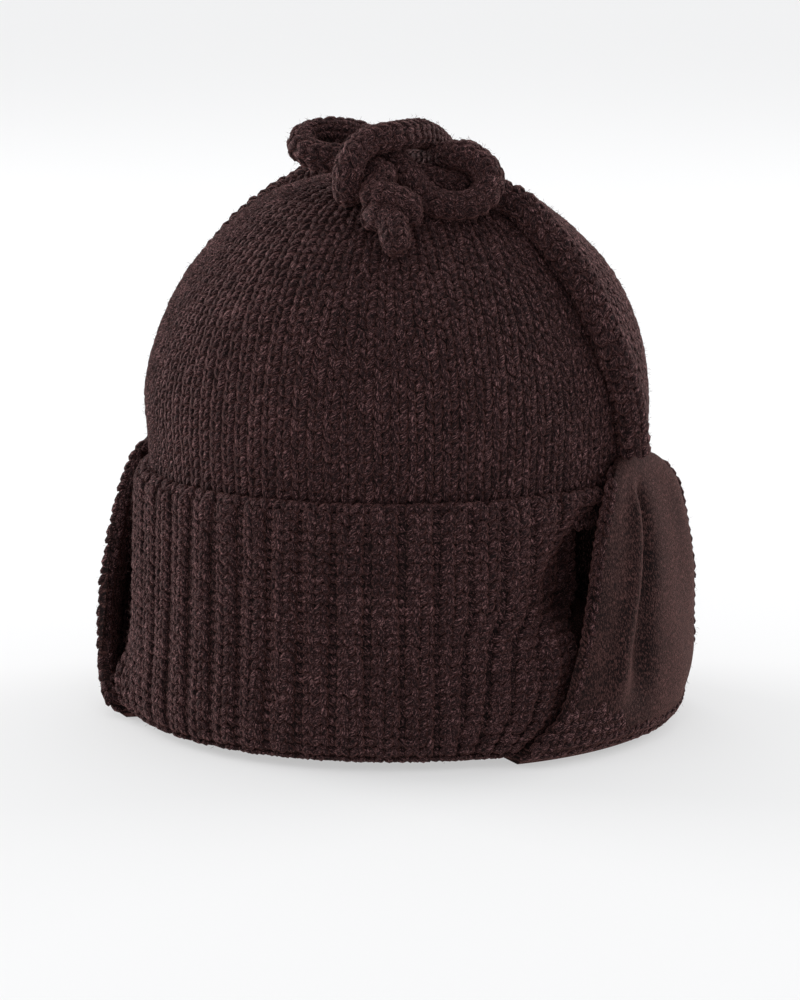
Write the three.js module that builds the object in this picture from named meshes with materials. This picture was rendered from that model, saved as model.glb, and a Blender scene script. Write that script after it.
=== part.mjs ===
// Knitted watch cap with a turned-up ribbed cuff, two turned-up ear flaps and tie cords in a bow on top.
// Millimetres, +Z up, the front towards -Y, the wearer's left towards +X.
// The origin is on the surface that the cap stands on, under the middle of the crown.
import * as THREE from "three";

// The crown is slightly longer from front to back than it is wide.
const WIDTH_SHARE = 0.985;
const LENGTH_SHARE = 1.02;

// Chunky knit of the crown.
const CROWN_WALL = 4.5;
const CROWN_SEGMENTS = 54;
const CROWN_OUTER_ROWS = 13;
const CROWN_INNER_ROWS = 9;

// The fold that the crown stands in, made by the turned-up cuffs and flaps.
const FOLD_FLOOR = 6.6;
const FOLD_HEEL_RADIUS = 87.6;
const PIECE_GAP = 0.6;
const HEM_HEIGHT = FOLD_FLOOR + PIECE_GAP;

// Ribbed cuff, turned up. One rib is two knit columns and one purl column.
const CUFF_HEIGHT = 97;
const CUFF_HALF_ANGLE = 79;
const CUFF_RIBS = 22;
const POINTS_PER_RIB = 3;
const RIB_HEIGHT = 1.9;
const CUFF_CLOTH = 4.1;
const CUFF_CLOTH_AT_SIDE = 3.2;
const CUFF_BACK_ROWS = [95.8, 69.5, 44, 29, 17, 8];
const GATHER_START = 0.45;
const CORNER_LUMP = 6.5;

// Ear flaps, two layers of knit.
const FLAP_CLOTH = 6.4;
const FLAP_HEIGHT = 107;
const EAR_ANGLE = 90;
const FLAP_COLUMNS = 14;
const FLAP_BACK_ROWS = [103.5, 91.5, 73.5, 57.5, 44, 29, 17, 8];
const SEAM_GAP_ANGLE = 0.4;

// Tie cords, knitted tubes. They are slimmer here than when slack, as cord in a pulled bow is.
const CORD_DIAMETER = 9.4;
const CORD_SIDES = 8;
const CORD_STEPS = 66;
const BOW_TURN = 27;
const KNOT_SIDES = 12;
const KNOT_FLATNESS = 0.58;

const COLOURS = { crown: 0x2f1d1b, cuff: 0x2b1a18, flap: 0x33201e, cord: 0x2f1d1b };

// Outline of the crown from its hem to its top: height and radius.
const CROWN_SECTIONS = [
  { z: HEM_HEIGHT, r: 91.6 },
  { z: 28, r: 93.2 },
  { z: 57.5, r: 94.2 },
  { z: 87.5, r: 94.8 },
  { z: 117, r: 96.4 },
  { z: 130, r: 96 },
  { z: 144, r: 93.2 },
  { z: 160, r: 86.9 },
  { z: 173, r: 78.6 },
  { z: 185, r: 67.4 },
  { z: 196.5, r: 53.3 },
  { z: 202.3, r: 41.2 },
  { z: 205.6, r: 28 },
  { z: 207.1, r: 13 },
  { z: 207.5, r: 0 },
];

// Outer face of the cuff: height, how far the cloth stands off the crown, and how far the ribs have faded in.
const CUFF_SECTIONS = [
  { z: 0, belly: -1, rib: 0.35 },
  { z: 2.5, belly: 4, rib: 0.8 },
  { z: 8, belly: 6.4, rib: 1 },
  { z: 17, belly: 5.8, rib: 1 },
  { z: 29, belly: 3.9, rib: 1 },
  { z: 44, belly: 2.6, rib: 1 },
  { z: 57.5, belly: 1.8, rib: 1 },
  { z: 75.5, belly: 1, rib: 1 },
  { z: 92.5, belly: 0.2, rib: 0.9 },
  { z: CUFF_HEIGHT, belly: -1.6, rib: 0.45 },
];

// Ear flap from its fold to its tip: height, half widths towards the face and towards the nape as angles
// round the crown, and outer radius.
const FLAP_SECTIONS = [
  { z: 0, face: 38, nape: 38, outer: 105 },
  { z: 2.5, face: 37.6, nape: 37.6, outer: 110.5 },
  { z: 8, face: 36, nape: 36, outer: 114.8 },
  { z: 17, face: 30.4, nape: 32, outer: 116 },
  { z: 29, face: 27.2, nape: 29, outer: 115.6 },
  { z: 44, face: 24.8, nape: 27, outer: 114.2 },
  { z: 60.5, face: 22, nape: 25, outer: 112 },
  { z: 76.5, face: 19.4, nape: 23.5, outer: 109.6 },
  { z: 89.5, face: 16, nape: 21, outer: 106.6 },
  { z: 98.5, face: 12.6, nape: 17.5, outer: 104.2 },
  { z: 103.5, face: 9.6, nape: 12.5, outer: 102.6 },
  { z: FLAP_HEIGHT, face: 5, nape: 6, outer: 100.8 },
];

// Route of the left cord: up from its flap, under the bow, round its front and over it, and down behind.
const LEFT_CORD_ROUTE = [
  { side: 87.5, front: 48.6, rise: 108.3 },
  { side: 86.8, front: 50.8, rise: 117.5 },
  { side: 85.3, front: 52.7, rise: 127.5 },
  { side: 83, front: 54, rise: 137 },
  { side: 79.9, front: 55.3, rise: 145.3 },
  { side: 75.6, front: 55, rise: 155.7 },
  { side: 69.2, front: 51.9, rise: 169.9 },
  { side: 61.6, front: 48.2, rise: 180.7 },
  { side: 55.3, front: 43.6, rise: 188.7 },
  { side: 46.2, front: 38.7, rise: 198.1 },
  { side: 37.6, front: 37.3, rise: 203 },
  { side: 27, front: 40.3, rise: 205.1 },
  { side: 16, front: 40.2, rise: 207.4 },
  { side: 5, front: 34.8, rise: 209.9 },
  { side: -4.5, front: 32, rise: 210.2 },
  { side: -11.7, front: 34, rise: 209.5 },
  { side: -16.2, front: 39.8, rise: 207.3 },
  { side: -17.9, front: 46.9, rise: 205.1 },
  { side: -18.5, front: 53.2, rise: 207.4 },
  { side: -18.2, front: 56.2, rise: 212.9 },
  { side: -16.8, front: 54.6, rise: 218.5 },
  { side: -13.2, front: 50.4, rise: 222.5 },
  { side: -7.6, front: 47, rise: 224.6 },
  { side: -1.4, front: 44.3, rise: 225.4 },
  { side: 3.6, front: 39, rise: 225.6 },
  { side: 7.6, front: 32.2, rise: 225.3 },
  { side: 11, front: 24.8, rise: 223.5 },
  { side: 14.4, front: 16.6, rise: 220.2 },
  { side: 18.2, front: 6.8, rise: 215.2 },
  { side: 22.4, front: -4.5, rise: 212.6 },
  { side: 26, front: -17, rise: 211.7 },
  { side: 27, front: -28, rise: 210.9 },
  { side: 26.3, front: -38, rise: 210 },
];

// Route of the right cord: up behind the crown, then the bow's right loop, its left loop and the front end.
const RIGHT_CORD_ROUTE = [
  { side: -90.6, front: -42.3, rise: 108.1 },
  { side: -90.3, front: -43.7, rise: 121.5 },
  { side: -88.2, front: -45.8, rise: 135.5 },
  { side: -82.6, front: -49, rise: 149.8 },
  { side: -74.3, front: -50.2, rise: 164.5 },
  { side: -62.8, front: -48.3, rise: 179.4 },
  { side: -50.4, front: -47.4, rise: 190.4 },
  { side: -38, front: -46.2, rise: 198.3 },
  { side: -27, front: -40, rise: 204.9 },
  { side: -18, front: -29, rise: 209.7 },
  { side: -11, front: -15, rise: 212.4 },
  { side: -5, front: 0, rise: 213.5 },
  { side: 1, front: 11, rise: 213.6 },
  { side: 7.2, front: 20, rise: 212.7 },
  { side: 13.2, front: 27.7, rise: 214.5 },
  { side: 19.2, front: 35.2, rise: 217.5 },
  { side: 25.6, front: 41, rise: 217.6 },
  { side: 31.7, front: 44.5, rise: 213.8 },
  { side: 33.8, front: 48.5, rise: 208 },
  { side: 29.6, front: 51.8, rise: 202.4 },
  { side: 21.2, front: 53.2, rise: 200.4 },
  { side: 12.7, front: 52, rise: 202.2 },
  { side: 6.5, front: 48.4, rise: 207 },
  { side: 1.6, front: 43.4, rise: 213.2 },
  { side: -4.2, front: 36.6, rise: 218.9 },
  { side: -9.5, front: 29.3, rise: 222 },
  { side: -15.5, front: 24.8, rise: 224 },
  { side: -22, front: 22.9, rise: 224.9 },
  { side: -29, front: 23, rise: 224.8 },
  { side: -34.6, front: 26.6, rise: 223.2 },
  { side: -35.6, front: 32.3, rise: 220.3 },
  { side: -31.8, front: 37.2, rise: 218.1 },
  { side: -25.9, front: 39.2, rise: 217 },
  { side: -19.8, front: 39.6, rise: 216.5 },
  { side: -14.3, front: 42.2, rise: 216.6 },
  { side: -10.2, front: 46.8, rise: 213.7 },
  { side: -7, front: 51.7, rise: 209.9 },
];

// Overhand knots at the cords' ends: where each starts, where its short end stops, and a direction out of
// the crown.
const LEFT_KNOT = {
  start: { side: 26.1, front: -39.6, rise: 209.7 },
  end: { side: 21, front: -67.5, rise: 195.5 },
  away: { side: 0.4, front: -0.55, rise: 0.75 },
};
const RIGHT_KNOT = {
  start: { side: -6.5, front: 52.7, rise: 209.2 },
  end: { side: -0.6, front: 74.8, rise: 187 },
  away: { side: -0.05, front: 0.6, rise: 0.8 },
};

// Outline of an end knot down its length: distance from its start and radius.
const KNOT_SECTIONS = [
  { down: 0, r: 0 },
  { down: 0, r: 4.6 },
  { down: 4, r: 9 },
  { down: 9, r: 11.6 },
  { down: 13, r: 11.2 },
  { down: 18, r: 11 },
  { down: 22, r: 7.6 },
  { down: 23.5, r: 4.8 },
  { down: 34, r: 4.6 },
  { down: 34, r: 0 },
];

// A value between 0 and 1 that rises smoothly while x goes from start to end.
function easeBetween(start, end, x) {
  return THREE.MathUtils.smoothstep(x, start, end);
}

// A named column of a table, read at a height, straight between its rows.
function columnAt(table, column, z) {
  const above = table.findIndex((row) => row.z >= z);
  if (above <= 0) return (above === 0 ? table[0] : table[table.length - 1])[column];
  const low = table[above - 1];
  const high = table[above];
  return THREE.MathUtils.mapLinear(z, low.z, high.z, low[column], high[column]);
}

// A point at an angle from the front, a radius and a height, on the cap's oval plan.
function pointAround(angle, radius, z) {
  const turn = THREE.MathUtils.degToRad(angle);
  return [radius * Math.sin(turn) * WIDTH_SHARE, -radius * Math.cos(turn) * LENGTH_SHARE, z];
}

// One closed skin over a run of closed loops with equal numbers of points, capped at both ends.
// Each loop is a list of { angle, r, z }, and its cap is cut from its outline in radius and height.
function skinOverLoops(loops) {
  const count = loops[0].length;
  const positions = loops.flat().flatMap((p) => pointAround(p.angle, p.r, p.z));
  const faces = [];
  for (let i = 0; i + 1 < loops.length; i += 1) {
    for (let j = 0; j < count; j += 1) {
      const a = i * count + j;
      const b = i * count + ((j + 1) % count);
      faces.push(a, b + count, b, a, a + count, b + count);
    }
  }
  const capOf = (loop) =>
    THREE.ShapeUtils.triangulateShape(loop.map((p) => new THREE.Vector2(p.r, p.z)), []);
  const last = (loops.length - 1) * count;
  capOf(loops[0]).forEach(([a, b, c]) => faces.push(a, b, c));
  capOf(loops[loops.length - 1]).forEach(([a, b, c]) => faces.push(last + a, last + c, last + b));
  const geometry = new THREE.BufferGeometry();
  geometry.setAttribute("position", new THREE.Float32BufferAttribute(positions, 3));
  geometry.setIndex(faces);
  return geometry;
}

// A named mesh of matt wool knit.
function knitMesh(name, geometry, colour) {
  geometry.computeVertexNormals();
  const material = new THREE.MeshStandardMaterial({ color: colour, roughness: 0.95, metalness: 0 });
  const mesh = new THREE.Mesh(geometry, material);
  mesh.name = name;
  return mesh;
}

// Soft unevenness of the stuffed crown above its cuff, in millimetres of radius.
function crownDent(angle, z) {
  const turn = THREE.MathUtils.degToRad(angle);
  const shown = easeBetween(109.5, 133.5, z) * (1 - easeBetween(185, 200, z));
  return shown * (0.7 * Math.sin(3 * turn + z / 24) + 0.5 * Math.sin(5 * turn - z / 17));
}

// The crown: one wall turned round from the top down its outside, across the hem and up its inside.
function crownGeometry() {
  const outline = new THREE.SplineCurve(
    CROWN_SECTIONS.map((row) => new THREE.Vector2(row.r, row.z)).reverse(),
  );
  const outer = outline.getSpacedPoints(CROWN_OUTER_ROWS);
  const inner = outline.getSpacedPoints(CROWN_INNER_ROWS).map((point, i) => {
    const along = outline.getTangentAt(i / CROWN_INNER_ROWS);
    return new THREE.Vector2(point.x + along.y * CROWN_WALL, point.y - along.x * CROWN_WALL);
  });
  outer[0].x = 0;
  inner[0].x = 0;
  inner[CROWN_INNER_ROWS].y = HEM_HEIGHT;
  const geometry = new THREE.LatheGeometry([...inner, ...outer.reverse()], CROWN_SEGMENTS);
  geometry.rotateX(Math.PI / 2);
  geometry.deleteAttribute("normal");
  geometry.deleteAttribute("uv");
  const position = geometry.attributes.position;
  for (let i = 0; i < position.count; i += 1) {
    const radius = Math.hypot(position.getX(i), position.getY(i));
    const angle = THREE.MathUtils.radToDeg(Math.atan2(position.getX(i), -position.getY(i)));
    const z = position.getZ(i);
    const share = radius > 1 ? (radius + crownDent(angle, z)) / radius : 1;
    position.setXY(i, position.getX(i) * share * WIDTH_SHARE, position.getY(i) * share * LENGTH_SHARE);
  }
  return geometry;
}

// Outer radius of the lower crown, where cuffs and flaps lie against it.
function crownRadius(z) {
  return columnAt(CROWN_SECTIONS, "r", z);
}

// The angle at which a cuff ends: along the flap's edge low down, and tucked behind the flap above it.
// The edge is the flap's column that meets this cuff, face or nape.
function cuffEndAngle(edge, z) {
  const besideFlap = EAR_ANGLE - columnAt(FLAP_SECTIONS, edge, z) - SEAM_GAP_ANGLE;
  return THREE.MathUtils.lerp(besideFlap, CUFF_HALF_ANGLE, easeBetween(52, 68, z));
}

// The angle of a column of the cuff: ribs run straight up in the middle and draw together at the low corners.
function cuffAngle(edge, share, z) {
  const gathered = Math.max(0, (Math.abs(share) - GATHER_START) / (1 - GATHER_START)) ** 1.15;
  const pulled = gathered * (CUFF_HALF_ANGLE - cuffEndAngle(edge, z));
  return share * CUFF_HALF_ANGLE - Math.sign(share) * pulled;
}

// The lump of gathered cloth at the cuff's low corners, below a crease that climbs towards the flap.
function cornerLump(angle, z) {
  const crease = THREE.MathUtils.mapLinear(Math.abs(angle), 46, 66, 34, 53);
  const near = easeBetween(42, 58, Math.abs(angle));
  return CORNER_LUMP * near * easeBetween(0, 7, z) * (1 - easeBetween(crease - 16, crease, z));
}

// Outer radius of the cuff's cloth between its ribs.
function cuffOuter(angle, z) {
  const side = easeBetween(62, 72, Math.abs(angle));
  const cloth = THREE.MathUtils.lerp(CUFF_CLOTH, CUFF_CLOTH_AT_SIDE, side);
  const belly = columnAt(CUFF_SECTIONS, "belly", z) * (1 - 0.8 * side * easeBetween(42, 60, z));
  const drawnIn = 1.2 * easeBetween(50, 60, Math.abs(angle)) * easeBetween(44, 54, z) * (1 - side);
  return crownRadius(z) + PIECE_GAP + cloth + belly + cornerLump(angle, z) - drawnIn;
}

// The four points of the fold under the crown, from its outer wall to its heel.
function foldPoints(at, wallRadius) {
  return [
    at(FOLD_FLOOR, wallRadius),
    at(FOLD_FLOOR, FOLD_HEEL_RADIUS),
    at(2, FOLD_HEEL_RADIUS),
    at(0, FOLD_HEEL_RADIUS + 2),
  ];
}

// One closed section through a cuff: up the ribs, over the top edge, down the back and round the fold.
function cuffLoop(edge, share, column) {
  const at = (z, r) => ({ angle: cuffAngle(edge, share, z), r, z });
  const rise = column % POINTS_PER_RIB === 0 ? 0 : RIB_HEIGHT;
  const side = easeBetween(0.84, 0.95, Math.abs(share));
  const outside = CUFF_SECTIONS.map(({ z, rib }) => {
    const lift = rise * rib * (1 - 0.45 * side);
    return at(z, cuffOuter(cuffAngle(edge, share, z), z) + lift);
  });
  const back = CUFF_BACK_ROWS.map((z) => {
    const behind = cuffOuter(cuffAngle(edge, share, z), z) - CUFF_CLOTH;
    return at(z, Math.max(behind, crownRadius(z) + PIECE_GAP));
  });
  return [...outside, ...back, ...foldPoints(at, crownRadius(FOLD_FLOOR) + 2)];
}

// A ribbed cuff across the front or the nape of the cap.
function cuffGeometry(edge) {
  const columns = CUFF_RIBS * POINTS_PER_RIB;
  const loops = Array.from({ length: columns + 1 }, (_, i) => cuffLoop(edge, (2 * i) / columns - 1, i));
  return skinOverLoops(loops);
}

// Relief across a flap: a ridge runs up its front half with a shallow valley beside it, and the edge
// towards the nape bulges high up.
function flapRelief(across, z) {
  const bump = (middle, width) => Math.exp(-(((across - middle) / width) ** 2));
  const body = easeBetween(10, 34, z) * (1 - easeBetween(86, 101, z));
  const folds = 1.2 * bump(-0.36, 0.16) - 2.4 * bump(-0.06, 0.2) - 1.6 * bump(-0.68, 0.18) - bump(0.6, 0.3);
  const bulge = 3.4 * bump(0.8, 0.4) * easeBetween(58, 78, z) * (1 - easeBetween(92, 104, z));
  return body * folds + bulge;
}

// One closed section through an ear flap, from its front edge (across -1) to its back edge (across 1).
function flapLoop(across, middle) {
  const roundness = 0.5 + 0.5 * Math.sqrt(1 - Math.abs(across) ** 5);
  const half = (z) => columnAt(FLAP_SECTIONS, across < 0 ? "face" : "nape", z);
  const at = (z, r) => ({ angle: middle + Math.sign(middle) * across * half(z), r, z });
  const outerAt = (z) => columnAt(FLAP_SECTIONS, "outer", z) + flapRelief(across, z);
  const clothAt = (z) => FLAP_CLOTH * roundness * THREE.MathUtils.lerp(1, 0.62, easeBetween(75, 105, z));
  const outside = FLAP_SECTIONS.map(({ z }) => at(z, outerAt(z) - (1 - roundness) * 1.2));
  const inside = FLAP_BACK_ROWS.map((z) => at(z, outerAt(z) - clothAt(z)));
  return [...outside, ...inside, ...foldPoints(at, 104)];
}

// An ear flap, a tongue of doubled knit. Columns lie closer together towards its rounded edges.
function flapGeometry(middle) {
  const loops = Array.from({ length: FLAP_COLUMNS + 1 }, (_, i) => {
    const across = Math.sin((i / FLAP_COLUMNS - 0.5) * Math.PI);
    return flapLoop(across, middle);
  });
  if (middle < 0) loops.reverse();
  return skinOverLoops(loops);
}

// A point of the bow in the cap's frame. The bow is seen from the front left: side runs to the viewer's
// right, front towards the viewer, rise up.
function bowPoint({ side, front, rise }) {
  const turn = THREE.MathUtils.degToRad(BOW_TURN);
  return new THREE.Vector3(
    side * Math.cos(turn) + front * Math.sin(turn),
    side * Math.sin(turn) - front * Math.cos(turn),
    rise,
  );
}

// A round tube along a route.
function cordGeometry(route) {
  const section = new THREE.Shape(
    Array.from({ length: CORD_SIDES }, (_, i) => {
      const turn = (i * 2 * Math.PI) / CORD_SIDES;
      return new THREE.Vector2(Math.cos(turn), Math.sin(turn)).multiplyScalar(CORD_DIAMETER / 2);
    }),
  );
  const path = new THREE.CatmullRomCurve3(route.map(bowPoint), false, "catmullrom", 0.5);
  return new THREE.ExtrudeGeometry(section, { steps: CORD_STEPS, bevelEnabled: false, extrudePath: path });
}

// The overhand knot at a cord's end, with the short end below it, from one point to another.
// It is turned round its own length, flattened, and laid on the crown.
function endKnot(name, { start, end, away }) {
  const outline = KNOT_SECTIONS.map(({ down, r }) => new THREE.Vector2(r, down));
  const geometry = new THREE.LatheGeometry(outline, KNOT_SIDES);
  geometry.scale(1, 1, KNOT_FLATNESS);
  const knot = knitMesh(name, geometry, COLOURS.cord);
  const along = bowPoint(end).sub(bowPoint(start)).normalize();
  const outward = bowPoint(away).normalize();
  const across = new THREE.Vector3().crossVectors(along, outward).normalize();
  knot.quaternion.setFromRotationMatrix(
    new THREE.Matrix4().makeBasis(across, along, new THREE.Vector3().crossVectors(across, along)),
  );
  knot.position.copy(bowPoint(start));
  return knot;
}

const cap = new THREE.Group();
cap.name = "watch_cap";
cap.add(knitMesh("crown", crownGeometry(), COLOURS.crown));
cap.add(knitMesh("front_cuff", cuffGeometry("face"), COLOURS.cuff));
const napeCuff = knitMesh("nape_cuff", cuffGeometry("nape"), COLOURS.cuff);
napeCuff.rotation.z = Math.PI;
cap.add(napeCuff);
cap.add(knitMesh("ear_flap_left", flapGeometry(EAR_ANGLE), COLOURS.flap));
cap.add(knitMesh("ear_flap_right", flapGeometry(-EAR_ANGLE), COLOURS.flap));
cap.add(knitMesh("tie_cord_left", cordGeometry(LEFT_CORD_ROUTE), COLOURS.cord));
cap.add(knitMesh("tie_cord_right", cordGeometry(RIGHT_CORD_ROUTE), COLOURS.cord));
cap.add(endKnot("tie_knot_left", LEFT_KNOT));
cap.add(endKnot("tie_knot_right", RIGHT_KNOT));

export default cap;
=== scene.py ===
"""The looks of a knitted watch cap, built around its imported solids.

The cap stands on its turned-up cuff. Everything is in metres in the part's frame: +Z up, the front towards
-Y and the wearer's left towards +X. Tables and shapes are given in millimetres, as in the part's source.
"""

import logging
import math
from dataclasses import dataclass
from enum import Enum
from typing import Any, Callable, Sequence

import bpy
import numpy as np
from mathutils import Matrix


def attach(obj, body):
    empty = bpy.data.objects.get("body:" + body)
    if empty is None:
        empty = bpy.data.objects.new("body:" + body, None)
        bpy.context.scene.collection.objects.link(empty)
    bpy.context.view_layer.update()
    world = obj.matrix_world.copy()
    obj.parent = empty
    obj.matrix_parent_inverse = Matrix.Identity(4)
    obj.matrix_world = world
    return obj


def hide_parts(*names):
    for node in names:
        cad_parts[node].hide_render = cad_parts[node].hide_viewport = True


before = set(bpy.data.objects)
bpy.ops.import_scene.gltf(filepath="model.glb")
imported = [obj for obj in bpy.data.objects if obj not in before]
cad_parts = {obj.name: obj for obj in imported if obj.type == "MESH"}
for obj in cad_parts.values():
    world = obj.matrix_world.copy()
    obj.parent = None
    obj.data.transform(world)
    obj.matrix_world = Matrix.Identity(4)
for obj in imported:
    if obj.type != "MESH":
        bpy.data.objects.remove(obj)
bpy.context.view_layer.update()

LOG = logging.getLogger("watch_cap")
MM = 0.001
BODY = "root"

Surface = Callable[[np.ndarray, np.ndarray], np.ndarray]


# Measures that more than one piece uses, in millimetres and degrees. The two shares make the plan oval.
WIDTH_SHARE = 0.985
LENGTH_SHARE = 1.02
CROWN_WALL = 4.5
FOLD_FLOOR = 6.6
FOLD_HEEL_RADIUS = 87.6
PIECE_GAP = 0.6
HEM_HEIGHT = FOLD_FLOOR + PIECE_GAP
NAP_FLOOR = 4.0
CUFF_HEIGHT = 97.0
FLAP_HEIGHT = 107.0
EAR_ANGLE = 90.0
BOW_TURN = 27.0

# A column's width and a row's height in the bulky knit, and the yarn that shows in one leg of a stitch.
WALE = 6.2
COURSE = 3.8
LEG_LENGTH = 6.2

# The hollow beside an ear flap: where it starts low down, how much nearer the flap it starts above, the
# stretch over which it ends, its depth, and how much deeper it is on the face side of the wearer's left flap.
HOLLOW_START = 53.0
HOLLOW_LEAN = 11.0
HOLLOW_END = (84.0, 92.0)
HOLLOW_DEPTH = 6.5
HOLLOW_DEEPER = 6.0

# The crown is pressed in this many times deeper than the cuff that lies over it.
CROWN_GIVE = 1.45

# Settings of a node that adds a share (input 1) of one value (input 0) to another (input 2), and of one that
# compares two values.
ADD_SHARE = {"operation": "MULTIPLY_ADD"}
MORE_THAN = {"data_type": "FLOAT", "operation": "GREATER_THAN"}

# The crown's outline: height and radius.
CROWN_SECTIONS = (
    (HEM_HEIGHT, 91.6),
    (28, 93.2),
    (57.5, 94.2),
    (87.5, 94.8),
    (117, 96.4),
    (130, 96),
    (144, 93.2),
    (160, 86.9),
    (173, 78.6),
    (185, 67.4),
    (196.5, 53.3),
    (202.3, 41.2),
    (205.6, 28),
    (207.1, 13),
    (207.5, 0),
)

# Height, and how far the cuff's cloth stands off the crown.
CUFF_BELLY = (
    (0, -1),
    (2.5, 4),
    (8, 6.4),
    (17, 5.8),
    (29, 3.9),
    (44, 2.6),
    (57.5, 1.8),
    (75.5, 1),
    (92.5, 0.2),
    (CUFF_HEIGHT, -1.6),
)

# Height, half width towards the face, half width towards the nape, outer radius.
FLAP_SECTIONS = (
    (0, 38, 38, 105),
    (2.5, 37.6, 37.6, 110.5),
    (8, 36, 36, 114.8),
    (17, 30.4, 32, 116),
    (29, 27.2, 29, 115.6),
    (44, 24.8, 27, 114.2),
    (60.5, 22, 25, 112),
    (76.5, 19.4, 23.5, 109.6),
    (89.5, 16, 21, 106.6),
    (98.5, 12.6, 17.5, 104.2),
    (103.5, 9.6, 12.5, 102.6),
    (FLAP_HEIGHT, 5, 6, 100.8),
)

# Routes of the cords: side, front and rise, seen from the front left.
LEFT_CORD_ROUTE = (
    (87.5, 48.6, 108.3), (86.8, 50.8, 117.5), (85.3, 52.7, 127.5), (83, 54, 137), (79.9, 55.3, 145.3),
    (75.6, 55, 155.7), (69.2, 51.9, 169.9), (61.6, 48.2, 180.7), (55.3, 43.6, 188.7),
    (46.2, 38.7, 198.1), (37.6, 37.3, 203), (27, 40.3, 205.1), (16, 40.2, 207.4), (5, 34.8, 209.9),
    (-4.5, 32, 210.2), (-11.7, 34, 209.5), (-16.2, 39.8, 207.3), (-17.9, 46.9, 205.1),
    (-18.5, 53.2, 207.4), (-18.2, 56.2, 212.9), (-16.8, 54.6, 218.5), (-13.2, 50.4, 222.5),
    (-7.6, 47, 224.6), (-1.4, 44.3, 225.4), (3.6, 39, 225.6), (7.6, 32.2, 225.3), (11, 24.8, 223.5),
    (14.4, 16.6, 220.2), (18.2, 6.8, 215.2), (22.4, -4.5, 212.6), (26, -17, 211.7), (27, -28, 210.9),
)
RIGHT_CORD_ROUTE = (
    (-90.6, -42.3, 108.1), (-90.3, -43.7, 121.5), (-88.2, -45.8, 135.5), (-82.6, -49, 149.8),
    (-74.3, -50.2, 164.5), (-62.8, -48.3, 179.4), (-50.4, -47.4, 190.4), (-38, -46.2, 198.3),
    (-27, -40, 204.9), (-18, -29, 209.7), (-11, -15, 212.4), (-5, 0, 213.5), (1, 11, 213.6),
    (7.2, 20, 212.7), (13.2, 27.7, 214.5), (19.2, 35.2, 217.5), (25.6, 41, 217.6), (31.7, 44.5, 213.8),
    (33.8, 48.5, 208), (29.6, 51.8, 202.4), (21.2, 53.2, 200.4), (12.7, 52, 202.2), (6.5, 48.4, 207),
    (1.6, 43.4, 213.2), (-4.2, 36.6, 218.9), (-9.5, 29.3, 222), (-15.5, 24.8, 224), (-22, 22.9, 224.9),
    (-29, 23, 224.8), (-34.6, 26.6, 223.2), (-35.6, 32.3, 220.3), (-31.8, 37.2, 218.1),
    (-25.9, 39.2, 217), (-19.8, 39.6, 216.5), (-14.3, 42.2, 216.6), (-10.2, 46.8, 213.7),
)

# An overhand knot in its own frame: down the cord, across it to the right, and out of the crown.
OVERHAND_ROUTE = (
    (-13.5, -1, 0), (-8, -4.3, 1.5), (-1.5, -7.3, 3), (1, -2.5, 6.5), (3.5, 4.5, 5.5), (5, 8, 0),
    (5.5, 4, -5), (5, -3, -5.5), (6, -7, -1.5), (8, -4, 1.5), (12.5, -0.2, 1.5), (19, 0.3, 1.2),
    (27.5, 1, 0.4),
)


def smooth_step(start: float, end: float, x: np.ndarray | float) -> np.ndarray:
    """Rises smoothly from 0 to 1.

    Args:
        start: Where the rise begins.
        end: Where the rise ends.
        x: The places to read.

    Returns:
        The values, between 0 and 1.
    """
    t = np.clip((np.asarray(x, float) - start) / (end - start), 0.0, 1.0)
    return t * t * (3.0 - 2.0 * t)


def swell(x: np.ndarray, middle: float, width: float) -> np.ndarray:
    """A smooth bump of height 1.

    Args:
        x: The places to read.
        middle: Where it is highest.
        width: Half its width at about a third of its height.

    Returns:
        The values.
    """
    return np.exp(-(((x - middle) / width) ** 2))


def linear_colour(hex_colour: str) -> tuple[float, float, float, float]:
    """Turns an sRGB hex colour into linear light.

    Args:
        hex_colour: Six hex digits.

    Returns:
        Red, green, blue and alpha.
    """
    parts = [int(hex_colour[i : i + 2], 16) / 255 for i in (0, 2, 4)]
    red, green, blue = (p / 12.92 if p <= 0.04045 else ((p + 0.055) / 1.055) ** 2.4 for p in parts)
    return red, green, blue, 1.0


def add_node(
    tree: bpy.types.NodeTree,
    kind: str,
    settings: dict[str, Any] | None = None,
    inputs: dict[str | int, Any] | None = None,
) -> bpy.types.Node:
    """Adds one node to a tree.

    Args:
        tree: The shader or geometry tree.
        kind: Blender's name for the node's type.
        settings: The node's own properties.
        inputs: A value or another node's output socket for each input, by name or number.

    Returns:
        The node.
    """
    node = tree.nodes.new(kind)
    for name, value in (settings or {}).items():
        setattr(node, name, value)
    for name, value in (inputs or {}).items():
        if isinstance(value, bpy.types.NodeSocket):
            tree.links.new(value, node.inputs[name])
        else:
            node.inputs[name].default_value = value
    return node


def plan_point(angle: np.ndarray, radius: np.ndarray, z: np.ndarray) -> np.ndarray:
    """A point on the cap's oval plan.

    Args:
        angle: Degrees from the front towards the wearer's left.
        radius: Millimetres from the middle.
        z: Height in millimetres.

    Returns:
        Points, in millimetres.
    """
    turn = np.radians(angle)
    x = radius * np.sin(turn) * WIDTH_SHARE
    y = -radius * np.cos(turn) * LENGTH_SHARE
    return np.stack(np.broadcast_arrays(x, y, z), axis=-1)


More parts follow.
